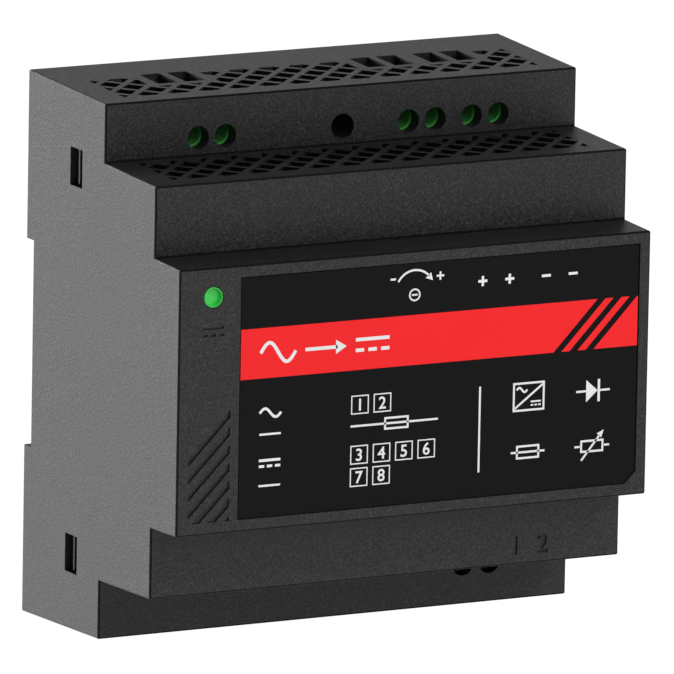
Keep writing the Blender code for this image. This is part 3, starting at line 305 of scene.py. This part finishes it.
def edge_shade_mask_group():
    """Mask for the painted shade on the front faces' rounded edges: 1 where the normal leans off every axis,
    and forwards.
    """
    straight, forwards = 0.98, -0.2
    group, _, result = new_group("rounded edge")
    group_socket(group, "Mask", "NodeSocketFloat", False)
    place = group.nodes.new("ShaderNodeNewGeometry")
    apart = group.nodes.new("ShaderNodeSeparateXYZ")
    group.links.new(place.outputs["True Normal"], apart.inputs["Vector"])
    across, along, up = (maths(group, "ABSOLUTE", apart.outputs[axis]) for axis in "XYZ")
    largest = maths(group, "MAXIMUM", maths(group, "MAXIMUM", across, along), up)
    leaning = maths(group, "LESS_THAN", largest, straight)
    forward = maths(group, "LESS_THAN", apart.outputs["Y"], forwards)
    group.links.new(maths(group, "MULTIPLY", leaning, forward), result.inputs["Mask"])
    return group


GRAIN = moulded_grain_group()
WEAR = surface_wear_group()
EDGE_SHADE_MASK = edge_shade_mask_group()


def new_material(name, roughness, metallic=0.0):
    """A material, its node tree, its shader and the Object coordinates that its patterns read."""
    made = bpy.data.materials.new(name)
    made.use_nodes = True
    tree = made.node_tree
    shader = tree.nodes["Principled BSDF"]
    shader.inputs["Roughness"].default_value = roughness
    shader.inputs["Metallic"].default_value = metallic
    place = tree.nodes.new("ShaderNodeTexCoord")
    return made, tree, shader, place.outputs["Object"]


def tinted(tree, shade, colour):
    """A colour multiplied by a shade that changes over the surface."""
    mix = tree.nodes.new("ShaderNodeMix")
    mix.data_type = "RGBA"
    mix.blend_type = "MULTIPLY"
    mix.inputs["Factor"].default_value = 1.0
    mix.inputs["A"].default_value = (*colour, 1.0)
    tree.links.new(shade, mix.inputs["B"])
    return mix.outputs["Result"]


def bumped(tree, shader, height, strength, distance):
    """Relief of a height, as a Bump node on the shader's Normal."""
    bump = tree.nodes.new("ShaderNodeBump")
    bump.inputs["Strength"].default_value = strength
    bump.inputs["Distance"].default_value = distance
    tree.links.new(height, bump.inputs["Height"])
    tree.links.new(bump.outputs["Normal"], shader.inputs["Normal"])


def moulded_plastic(name, colour, roughness, grain=0.25 * MM, contrast=0.2, bump=0.35, specular=0.4,
                    shade_edges=False):
    """A moulded plastic with the mould's grain in its colour, gloss and relief; if asked, painted shade
    darkens its rounded front edges and their gloss is duller.
    """
    painted_edge_shade, grain_depth = 0.9, 0.4 * grain
    made, tree, shader, place = new_material(name, roughness)
    shader.inputs["Specular IOR Level"].default_value = specular
    node = tree.nodes.new("ShaderNodeGroup")
    node.node_tree = GRAIN
    node.inputs["Grain size"].default_value = grain
    node.inputs["Contrast"].default_value = contrast
    tree.links.new(place, node.inputs["Vector"])
    shade = node.outputs["Shade"]
    dulled = maths(tree, "ADD", roughness, node.outputs["Dulling"])
    # Painted shade: rounded faces that lean forwards, edges and hole walls alike, are darkened in the colour;
    # their roughness rises too.
    if shade_edges:
        edge = tree.nodes.new("ShaderNodeGroup")
        edge.node_tree = EDGE_SHADE_MASK
        unshaded_share = maths(tree, "SUBTRACT", 1.0, maths(tree, "MULTIPLY", edge.outputs["Mask"], painted_edge_shade))
        shade = maths(tree, "MULTIPLY", shade, unshaded_share)
        dulled = maths(tree, "ADD", dulled, maths(tree, "MULTIPLY", edge.outputs["Mask"], 1.0 - roughness))
    tree.links.new(tinted(tree, shade, colour), shader.inputs["Base Color"])
    tree.links.new(dulled, shader.inputs["Roughness"])
    bumped(tree, shader, node.outputs["Height"], bump, grain_depth)
    return made


def worn_metal(name, colour, roughness, metallic=1.0, streak=4 * MM):
    """Metal with fine drawn streaks in its colour, gloss and relief."""
    darkest, streak_shade, polish, streak_dulling = 0.8, 0.8, 0.1, 0.5
    made, tree, shader, place = new_material(name, roughness, metallic)
    node = tree.nodes.new("ShaderNodeGroup")
    node.node_tree = WEAR
    node.inputs["Streak length"].default_value = streak
    tree.links.new(place, node.inputs["Vector"])
    mask = node.outputs["Mask"]
    shade = maths(tree, "ADD", darkest, maths(tree, "MULTIPLY", mask, streak_shade))
    dulled = maths(tree, "ADD", roughness - polish, maths(tree, "MULTIPLY", mask, streak_dulling))
    tree.links.new(tinted(tree, shade, colour), shader.inputs["Base Color"])
    tree.links.new(dulled, shader.inputs["Roughness"])
    bumped(tree, shader, node.outputs["Height"], 0.15, 0.02 * MM)
    return made


def lamp_plastic():
    """Clear green plastic that glows a little."""
    made = moulded_plastic("lamp_green", (0.035, 0.42, 0.06), 0.25, 0.5 * MM, 0.1, 0.05, 0.5)
    shader = made.node_tree.nodes["Principled BSDF"]
    shader.inputs["Emission Color"].default_value = (0.03, 0.55, 0.07, 1.0)
    shader.inputs["Emission Strength"].default_value = 0.15
    return made


def board_laminate():
    """Pale brown laminate with a woven ground."""
    made, tree, shader, place = new_material("board_laminate", 0.45)
    weave = tree.nodes.new("ShaderNodeTexBrick")
    weave.inputs["Scale"].default_value = 900.0
    weave.inputs["Color1"].default_value = (0.20, 0.14, 0.05, 1.0)
    weave.inputs["Color2"].default_value = (0.16, 0.11, 0.04, 1.0)
    weave.inputs["Mortar"].default_value = (0.13, 0.09, 0.03, 1.0)
    turn = tree.nodes.new("ShaderNodeMapping")
    turn.inputs["Rotation"].default_value = (math.pi / 2, 0.0, 0.0)
    tree.links.new(place, turn.inputs["Vector"])
    tree.links.new(turn.outputs["Vector"], weave.inputs["Vector"])
    tree.links.new(weave.outputs["Color"], shader.inputs["Base Color"])
    bumped(tree, shader, weave.outputs["Fac"], 0.1, 0.02 * MM)
    return made


CASE_COLOUR = (0.011, 0.011, 0.0113)
# The case darkens its rounded front edges with painted shade.
CASE = moulded_plastic("case_plastic", CASE_COLOUR, 0.5, 0.27 * MM, 1.7, 0.5, 0.5, True)
LABEL = moulded_plastic("label_film", (0.006, 0.006, 0.0062), 0.5, 0.18 * MM, 0.12, 0.1, 0.08)
INK_WHITE = moulded_plastic("white_ink", (0.8, 0.8, 0.8), 0.5, 0.2 * MM, 0.03, 0.08, 0.3)
INK_RED = moulded_plastic("red_ink", (0.88, 0.018, 0.021), 0.5, 0.2 * MM, 0.04, 0.08, 0.3)
FINISHES = {
    "rear_base": CASE,
    "rail_latch": moulded_plastic("latch_plastic", (0.03, 0.03, 0.032), 0.5),
    "front_label": LABEL,
    "led_light_guide": lamp_plastic(),
    "terminal_block": moulded_plastic("terminal_green", (0.04, 0.24, 0.042), 0.42, 0.3 * MM, 0.12, 0.2),
    "clamp_screw": worn_metal("zinc_plate", (0.72, 0.71, 0.68), 0.32),
    "clamp_cage": worn_metal("nickel_plate", (0.7, 0.68, 0.64), 0.3),
    "contact": worn_metal("tinned_strip", (0.74, 0.73, 0.7), 0.38),
    "main_board": board_laminate(),
    "insulating_sheet": moulded_plastic("pressed_sheet", (0.55, 0.5, 0.36), 0.7, 0.6 * MM),
    "trimmer_body": moulded_plastic("trimmer_blue", (0.02, 0.09, 0.36), 0.35, 0.3 * MM, 0.08, 0.1),
    "trimmer_rotor": moulded_plastic("trimmer_white", (0.7, 0.7, 0.66), 0.4, 0.3 * MM, 0.06, 0.1),
    "ceramic": moulded_plastic("dipped_ceramic", (0.04, 0.12, 0.3), 0.3, 0.5 * MM, 0.1, 0.1),
    "line_capacitor": moulded_plastic("film_case", (0.5, 0.38, 0.05), 0.45),
    "ferrite": moulded_plastic("ferrite", (0.05, 0.05, 0.053), 0.75, 0.4 * MM, 0.3, 0.5),
    "winding": worn_metal("enamelled_copper", (0.55, 0.2, 0.07), 0.3, 0.9, 1 * MM),
    "bobbin": moulded_plastic("winding_tape", (0.5, 0.36, 0.04), 0.5, 0.4 * MM),
    "sleeve": moulded_plastic("capacitor_sleeve", (0.02, 0.022, 0.04), 0.3, 0.5 * MM, 0.1, 0.1),
    "heat_sink": worn_metal("aluminium_sheet", (0.78, 0.78, 0.79), 0.42),
    "black": moulded_plastic("black_moulding", (0.022, 0.022, 0.024), 0.5),
}
FINISH_BY_START = {
    "status_led": "led_light_guide", "inrush_thermistor": "ceramic", "safety_capacitor": "ceramic",
    "line_choke_core": "ferrite", "transformer_core": "ferrite", "output_choke": "ferrite",
    "line_choke_winding": "winding", "transformer_bobbin": "bobbin", "bulk_capacitor": "sleeve",
    "output_capacitor": "sleeve", "primary_heat_sink": "heat_sink", "output_heat_sink": "heat_sink",
}


def finish_of(node):
    """The finish whose name starts the node's name; what has none is a black moulding."""
    for start, finish in FINISH_BY_START.items():
        if node.startswith(start):
            return FINISHES[finish]
    for start, finish in FINISHES.items():
        if node.startswith(start):
            return finish
    return FINISHES["black"]


def dress_nodes():
    """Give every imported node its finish."""
    for name, node in NODES.items():
        node.data.materials.clear()
        node.data.materials.append(finish_of(name))


# The case, with its engraved marks

ENGRAVING = 0.3 * MM


def engraved_marks():
    """Cutters for the marks: figures over the input screws and the sign for direct current under the lamp."""
    depth = 2 * ENGRAVING
    figure_shift, figure_foot, figure_height = 0.15 * MM, -33.1 * MM, 3.1 * MM
    sign_reach, sign_level, sign_gap, sign_line = 2.0 * MM, 11.7 * MM, 0.6 * MM, 0.42 * MM
    parts = []
    for figure in ("1", "2"):
        x = screw_x(f"input_{figure}") + figure_shift
        parts.append(figure_outlines(figure, x, figure_foot, figure_height, SHOULDER_Y - ENGRAVING, depth))
    lamp_x = (LAMP_LOW[0] + LAMP_HIGH[0]) / 2
    sign = direct_sign(lamp_x - sign_reach, lamp_x + sign_reach, sign_level, sign_gap, sign_line)
    parts.append(plates(sign, PANEL_Y - ENGRAVING, depth))
    return joined(parts)


def case_shell():
    """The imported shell, merged, with the marks cut into it."""
    bm = bmesh.new()
    bm.from_mesh(NODES["front_shell"].data)
    bm.transform(NODES["front_shell"].matrix_world)
    bmesh.ops.remove_doubles(bm, verts=bm.verts, dist=0.001 * MM)
    mesh = bpy.data.meshes.new("case_shell")
    bm.to_mesh(mesh)
    bm.free()
    shell = bpy.data.objects.new("case_shell", mesh)
    bpy.context.scene.collection.objects.link(shell)
    points, faces = engraved_marks()
    marks = mesh_object("marks", points, faces, None)
    cut = shell.modifiers.new("Marks", "BOOLEAN")
    cut.object = marks
    bpy.context.view_layer.update()
    final = bpy.data.meshes.new_from_object(shell.evaluated_get(bpy.context.evaluated_depsgraph_get()))
    shell.modifiers.clear()
    bpy.data.objects.remove(marks)
    shell.data = final
    final.materials.clear()
    final.materials.append(CASE)
    final.shade_flat()
    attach(shell, "housing")
    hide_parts("front_shell")


# Print on the label: places are across and up from the middle of the front panel

PRINT = 0.03 * MM
INK = 0.9 * PRINT
FINE = 0.35 * MM
BOLD = 0.45 * MM
ROW_LEFT = -28.9 * MM
ROW_RIGHT = -24.9 * MM
SIGN_LEFT = 21.6 * MM
SIGN_RIGHT = 33.8 * MM
SIGN_UPPER = -4.0 * MM
SIGN_LOWER = -13.45 * MM


def printed(name, outlines, surface, extra=(), coat=1):
    """One printed piece: plates as thick as the ink, on the label or on the coat below."""
    parts = [plates(outlines, LABEL_Y - coat * PRINT, INK)]
    made = mesh_object(name, *joined(parts + list(extra)), "housing", surface)


def red_band():
    """The red band between three dark slashes: four outlines with slanted ends."""
    top, low = 11.6 * MM, 3.1 * MM
    margin, corner = 0.02 * MM, 0.1 * MM
    left, right = LABEL_LOW[0] + margin, LABEL_HIGH[0] - margin
    slant = 8.2 * MM
    width, pitch, first = 1.5 * MM, 3.05 * MM, 26.1 * MM
    outlines = []
    start_low = start_top = left
    for index in range(3):
        foot = first + index * pitch
        outlines.append([(start_low, low), (foot, low), (foot + slant, top), (start_top, top)])
        start_low, start_top = foot + width, foot + width + slant
    outlines.append([(start_low, low), (right, low), (right, top), (min(start_top, right - corner), top)])
    printed("label_red_band", outlines, INK_RED)


def trimmer_sign():
    """A turning arrow from a minus to a plus, over a slotted head: arcs, bars and a closed ring."""
    x, arrow_level, sign_level, head_level = -0.3 * MM, 15.6 * MM, 17.9 * MM, 15.0 * MM
    arrow_radius, arrow_start, arrow_end = 3.6 * MM, 150, 42
    head_radius, head_end, slot_reach, head_line = 0.95 * MM, 345, 0.55 * MM, 0.8 * FINE
    plus_x, plus_arm, plus_gap = 4.45 * MM, 0.7 * MM, 0.2 * MM
    minus_left, minus_right = -4.9 * MM, -3.9 * MM
    lines = stroke(arc(x, arrow_level, arrow_radius, arrow_radius, arrow_start, arrow_end), FINE)
    lines += arrow_head(np.array((3.05, 17.25)) * MM, (-1.35, 0.45), (-0.35, 1.35))
    lines += plus_sign(plus_x, sign_level, plus_arm, plus_gap, FINE)
    lines += bar(minus_left, sign_level, minus_right, sign_level, FINE)
    lines += stroke(arc(x, head_level, head_radius, head_radius, 0, head_end), head_line, True)
    return lines + bar(x - slot_reach, head_level, x + slot_reach, head_level, head_line)


def terminal_signs():
    """A plus under each positive screw, a minus under each negative one, and the trimmer's sign."""
    level, arm = 16.35 * MM, 0.85 * MM
    lines = []
    for pole in ("plus_1", "plus_2"):
        lines += plus_sign(screw_x(pole), level, arm, BOLD / 2, BOLD)
    for pole in ("minus_1", "minus_2"):
        x = screw_x(pole)
        lines += bar(x - arm, level, x + arm, level, BOLD)
    return lines + trimmer_sign()


def converter_signs():
    """On the red band: alternating current, an arrow, and direct current."""
    level, line = 7.35 * MM, 0.6 * MM
    wave_right, wave_height = -22.4 * MM, 1.7 * MM
    shaft_left, shaft_right, tip_x = -20.6 * MM, -14.6 * MM, -12.9 * MM
    direct_left, direct_right, direct_gap = -11.2 * MM, -4.9 * MM, 0.9 * MM
    lines = sine(ROW_LEFT, wave_right, level, wave_height, line)
    lines += bar(shaft_left, level, shaft_right, level, line)
    lines += arrow_head(np.array((tip_x, level)), (-2.0, 1.2), (-2.0, -1.2))
    return lines + direct_sign(direct_left, direct_right, level, direct_gap, line)


def terminal_table():
    """Rows that name the terminals by plain numbers, with a sign for each row, a fuse's sign between them and
    the line beside them."""
    line_x, line_top, line_low = 12.35 * MM, -1.6 * MM, -16.2 * MM
    wave_level, wave_height = -2.8 * MM, 0.75 * MM
    direct_level, direct_gap = -11.3 * MM, 0.5 * MM
    rule_level, last_rule_level = -6.4 * MM, -15.1 * MM
    rule_left, rule_right = -11.9 * MM, 4.5 * MM
    fuse_left, fuse_right, fuse_reach = -5.6 * MM, -1.0 * MM, 0.9 * MM
    first_x, pitch, figure_height = -10.2 * MM, 4.2 * MM, 2.0 * MM
    box_reach, box_below, box_above, box_line = 1.65 * MM, 0.5 * MM, 2.5 * MM, 0.2 * MM
    lines = bar(line_x, line_top, line_x, line_low, FINE)
    lines += sine(ROW_LEFT, ROW_RIGHT, wave_level, wave_height, BOLD)
    lines += direct_sign(ROW_LEFT, ROW_RIGHT, direct_level, direct_gap, BOLD)
    lines += bar(ROW_LEFT, rule_level, ROW_RIGHT, rule_level, FINE)
    lines += bar(ROW_LEFT, last_rule_level, ROW_RIGHT, last_rule_level, FINE)
    lines += bar(rule_left, rule_level, rule_right, rule_level, FINE)
    lines += box_lines(fuse_left, rule_level - fuse_reach, fuse_right, rule_level + fuse_reach, FINE)
    figures = []
    for text, foot in (("1 2", -3.8 * MM), ("3 4 5 6", -12.3 * MM), ("7 8", -16.1 * MM)):
        for index, figure in enumerate(text.split()):
            x = first_x + pitch * index
            figures.append(figure_outlines(figure, x, foot, figure_height, LABEL_Y - PRINT, INK))
            lines += box_lines(x - box_reach, foot - box_below, x + box_reach, foot + box_above, box_line)
    return lines, figures


def converter_sign(x, z):
    """A box with a slanting line between a wave and the sign for direct current."""
    reach, half_height = 3.0 * MM, 2.3 * MM
    near, far, level = 0.3 * MM, 2.3 * MM, 1.2 * MM
    wave_height, direct_left, direct_gap = 0.4 * MM, 0.4 * MM, 0.3 * MM
    lines = box_lines(x - reach, z - half_height, x + reach, z + half_height, FINE)
    slant, rise = reach - FINE, half_height - FINE
    lines += bar(x - slant, z - rise, x + slant, z + rise, FINE)
    lines += sine(x - far, x - near, z + level, wave_height, FINE)
    return lines + direct_sign(x + direct_left, x + far, z - level, direct_gap, 0.8 * FINE)


def diode_sign(x, z):
    """A filled triangle against a bar, on a line."""
    lead, body, tip, stop, half_height = 3.2 * MM, 1.3 * MM, 0.85 * MM, 1.1 * MM, 1.9 * MM
    lines = bar(x - lead, z, x - body, z, FINE) + bar(x + body, z, x + lead, z, FINE)
    lines += [[(x - body, z + half_height), (x - body, z - half_height), (x + tip, z)]]
    return lines + bar(x + stop, z - half_height, x + stop, z + half_height, BOLD)


def fuse_sign(x, z):
    """A box with a line through it."""
    lead, reach, half_height = 3.2 * MM, 2.2 * MM, 1.0 * MM
    lines = box_lines(x - reach, z - half_height, x + reach, z + half_height, FINE)
    return lines + bar(x - lead, z, x + lead, z, FINE)


def variable_resistor_sign(x, z):
    """A box between two leads, with a slanting arrow across it."""
    lead, inner, reach, half_height = 3.3 * MM, 2.3 * MM, 2.2 * MM, 0.9 * MM
    shaft_left, shaft_low, shaft_right, shaft_high = -2.0 * MM, -2.4 * MM, 1.4 * MM, 1.7 * MM
    tip = np.array((x + 2.2 * MM, z + 2.65 * MM))
    lines = box_lines(x - reach, z - half_height, x + reach, z + half_height, FINE)
    lines += bar(x - lead, z, x - inner, z, FINE) + bar(x + inner, z, x + lead, z, FINE)
    lines += bar(x + shaft_left, z + shaft_low, x + shaft_right, z + shaft_high, FINE)
    return lines + arrow_head(tip, (-1.3, -0.6), (-0.45, -1.35))


def circuit_signs():
    """Four plain circuit signs, in two rows of two."""
    upper = converter_sign(SIGN_LEFT, SIGN_UPPER) + diode_sign(SIGN_RIGHT, SIGN_UPPER)
    return upper + fuse_sign(SIGN_LEFT, SIGN_LOWER) + variable_resistor_sign(SIGN_RIGHT, SIGN_LOWER)


def label_print():
    """The five printed pieces; the signs on the red band lie on a second coat."""
    red_band()
    table_lines, figures = terminal_table()
    printed("label_terminal_signs", terminal_signs(), INK_WHITE)
    printed("label_converter_signs", converter_signs(), INK_WHITE, coat=2)
    printed("label_terminal_table", table_lines, INK_WHITE, figures)
    printed("label_circuit_signs", circuit_signs(), INK_WHITE)


# The latch's spring

def wound_spring():
    """A round wire swept along a helix: each ring of the tube is a circle in the plane of the path's normal
    and binormal."""
    low, high = (np.array(corner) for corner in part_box("latch_spring"))
    wire = 0.25 * MM
    radius = (high[0] - low[0]) / 2 - wire
    centre_y = (low[1] + high[1]) / 2
    turns, per_turn, around = 9, 40, 12
    share = np.linspace(0.0, 1.0, turns * per_turn + 1)
    turn = 2 * np.pi * turns * share
    foot, top = low[2] + wire, high[2] - wire
    rise = foot + (top - foot) * share
    path = np.column_stack([radius * np.cos(turn), centre_y + radius * np.sin(turn), rise])
    tangent = np.gradient(path, axis=0)
    tangent /= np.linalg.norm(tangent, axis=1, keepdims=True)
    normal = np.column_stack([np.cos(turn), np.sin(turn), np.zeros_like(turn)])
    binormal = np.cross(tangent, normal)
    angle = np.linspace(0.0, 2 * np.pi, around, endpoint=False)
    ring = normal[:, None] * np.cos(angle)[None, :, None] + binormal[:, None] * np.sin(angle)[None, :, None]
    points = (path[:, None] + wire * ring).reshape(-1, 3)
    rows = np.arange(len(path) - 1)[:, None] * around
    here = np.arange(around)[None, :]
    there = (here + 1) % around
    after = rows + around
    faces = np.stack([rows + here, rows + there, after + there, after + here], axis=-1).reshape(-1, 4)
    caps = [tuple(range(around)), tuple(range(len(points) - around, len(points)))]
    spring = mesh_object("spring_wire", points, [tuple(f) for f in faces] + caps, "housing",
                         worn_metal("spring_steel", (0.55, 0.55, 0.56), 0.3))
    spring.data.shade_smooth()
    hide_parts("latch_spring")
    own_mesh(spring)


# Stage

def area_light(name, place, aim, width, height, power, mirrored=True):
    """A rectangular lamp that looks at its aim; one that isn't mirrored stays out of reflections."""
    data = bpy.data.lights.new(name, "AREA")
    data.shape = "RECTANGLE"
    data.size = width
    data.size_y = height
    data.energy = power
    made = bpy.data.objects.new(name, data)
    made.location = place
    made.rotation_euler = (Vector(aim) - Vector(place)).to_track_quat("-Z", "Y").to_euler()
    made.visible_glossy = mirrored
    bpy.context.scene.collection.objects.link(made)


def photo_camera():
    """The camera as fitted to the photograph: its place, its axes and a long lens."""
    right = Vector((0.88712, -0.46121, 0.01778))
    up = Vector((0.07772, 0.18722, 0.97924))
    back = right.cross(up)
    data = bpy.data.cameras.new("camera")
    data.lens = 747.4
    data.sensor_width = 36.0
    made = bpy.data.objects.new("camera", data)
    turn = Matrix((right, up, back)).transposed().to_4x4()
    made.matrix_world = Matrix.Translation(Vector((-1068.5, -2062.0, 476.7)) * MM) @ turn
    data.clip_start, data.clip_end = 0.1, 50.0
    bpy.context.scene.collection.objects.link(made)
    bpy.context.scene.camera = made


def pale_floor():
    """A wide white floor below the part, with room for the latch's travel; it glows, takes the part's faint
    shadow and lets the low lamps through. In reflections its glow is darker over the part's footprint: a
    painted shadow."""
    half, level = 6.0, cad_low[2] - 5 * MM
    white, painted_shadow_dip, on_part, softness, glow_share = 1.1, -0.5, -0.8, 12 * MM, 0.9
    corners = [(-half, -half, level), (half, -half, level), (half, half, level), (-half, half, level)]
    made = bpy.data.materials.new("floor_white")
    made.use_nodes = True
    tree = made.node_tree
    shader = tree.nodes["Principled BSDF"]
    shader.inputs["Base Color"].default_value = (0.86, 0.86, 0.86, 1.0)
    shader.inputs["Roughness"].default_value = 0.9
    glow = tree.nodes.new("ShaderNodeEmission")
    path = tree.nodes.new("ShaderNodeLightPath")
    place = tree.nodes.new("ShaderNodeTexCoord")
    apart = tree.nodes.new("ShaderNodeSeparateXYZ")
    tree.links.new(place.outputs["Object"], apart.inputs["Vector"])
    near, far = np.array(cad_low), np.array(cad_high)
    centre, reach = (near + far) / 2, (far - near) / 2
    # Painted shadow: the glow seen in reflections is dimmed over the part's footprint, with a soft border.
    beside = maths(tree, "SUBTRACT", maths(tree, "ABSOLUTE", apart.outputs["X"]), reach[0])
    off_middle = maths(tree, "ABSOLUTE", maths(tree, "SUBTRACT", apart.outputs["Y"], centre[1]))
    before = maths(tree, "SUBTRACT", off_middle, reach[1])
    outside = maths(tree, "DIVIDE", maths(tree, "MAXIMUM", beside, before), softness)
    clear_of = maths(tree, "MINIMUM", maths(tree, "MAXIMUM", outside, 0.0), 1.0)
    painted_shadow_mask = maths(tree, "SUBTRACT", 1.0, clear_of)
    reflected_painted_shadow = maths(tree, "MULTIPLY", path.outputs["Is Glossy Ray"], painted_shadow_mask)
    mirrored = maths(tree, "MULTIPLY", reflected_painted_shadow, painted_shadow_dip)
    bounced = maths(tree, "MULTIPLY", path.outputs["Is Diffuse Ray"], on_part)
    tree.links.new(maths(tree, "ADD", white, maths(tree, "ADD", mirrored, bounced)), glow.inputs["Strength"])
    blend = tree.nodes.new("ShaderNodeMixShader")
    blend.inputs["Fac"].default_value = glow_share
    tree.links.new(shader.outputs["BSDF"], blend.inputs[1])
    tree.links.new(glow.outputs["Emission"], blend.inputs[2])
    clear = tree.nodes.new("ShaderNodeBsdfTransparent")
    through = tree.nodes.new("ShaderNodeMixShader")
    tree.links.new(path.outputs["Is Shadow Ray"], through.inputs["Fac"])
    tree.links.new(blend.outputs["Shader"], through.inputs[1])
    tree.links.new(clear.outputs["BSDF"], through.inputs[2])
    tree.links.new(through.outputs["Shader"], tree.nodes["Material Output"].inputs["Surface"])
    floor = mesh_object("floor", np.array(corners), [(0, 1, 2, 3)], None, made)


def studio():
    """A low key behind the part on either side, which its side walls mirror, soft light from above, a small
    lamp from the front on the right, and a fill from the front; the mirrored sky is bright low down behind."""
    world = bpy.data.worlds.new("studio")
    world.use_nodes = True
    bpy.context.scene.world = world
    tree = world.node_tree
    ground = tree.nodes["Background"]
    ground.inputs["Color"].default_value = (1.0, 1.0, 1.0, 1.0)
    path = tree.nodes.new("ShaderNodeLightPath")
    place = tree.nodes.new("ShaderNodeTexCoord")
    apart = tree.nodes.new("ShaderNodeSeparateXYZ")
    tree.links.new(place.outputs["Generated"], apart.inputs["Vector"])
    horizon, fall, overhead, ambient = 2.0, 4.6, 0.05, 0.12
    ahead, front_share = 0.3, 0.1
    rise = maths(tree, "MULTIPLY", apart.outputs["Z"], fall)
    band = maths(tree, "MAXIMUM", maths(tree, "SUBTRACT", horizon, rise), overhead)
    backwards = maths(tree, "MAXIMUM", maths(tree, "ADD", apart.outputs["Y"], ahead), front_share)
    behind = maths(tree, "MINIMUM", backwards, 1.0)
    sky = maths(tree, "MULTIPLY", band, behind)
    mirrored = maths(tree, "MULTIPLY", path.outputs["Is Glossy Ray"], sky)
    soft = maths(tree, "MULTIPLY", path.outputs["Is Diffuse Ray"], ambient)
    strength = maths(tree, "ADD", path.outputs["Is Camera Ray"], maths(tree, "ADD", mirrored, soft))
    tree.links.new(strength, ground.inputs["Strength"])
    middle = (0.0, -0.025, 0.0)
    area_light("side_key", (-1.6, 2.55, -0.55), middle, 3.8, 2.2, 170.0)
    area_light("right_key", (1.6, 2.55, -1.45), middle, 3.8, 1.9, 90.0)
    area_light("overhead_box", (0.0, 1.1, 1.6), middle, 1.2, 0.8, 4.0)
    area_light("edge_light", (0.9, -1.1, 1.2), middle, 0.4, 0.3, 10.0)
    area_light("front_fill", (0.15, -1.7, 0.85), middle, 1.2, 0.8, 24.0, False)
    bpy.context.scene.view_settings.view_transform = "Standard"


dress_nodes()
case_shell()
label_print()
wound_spring()
photo_camera()
pale_floor()
studio()
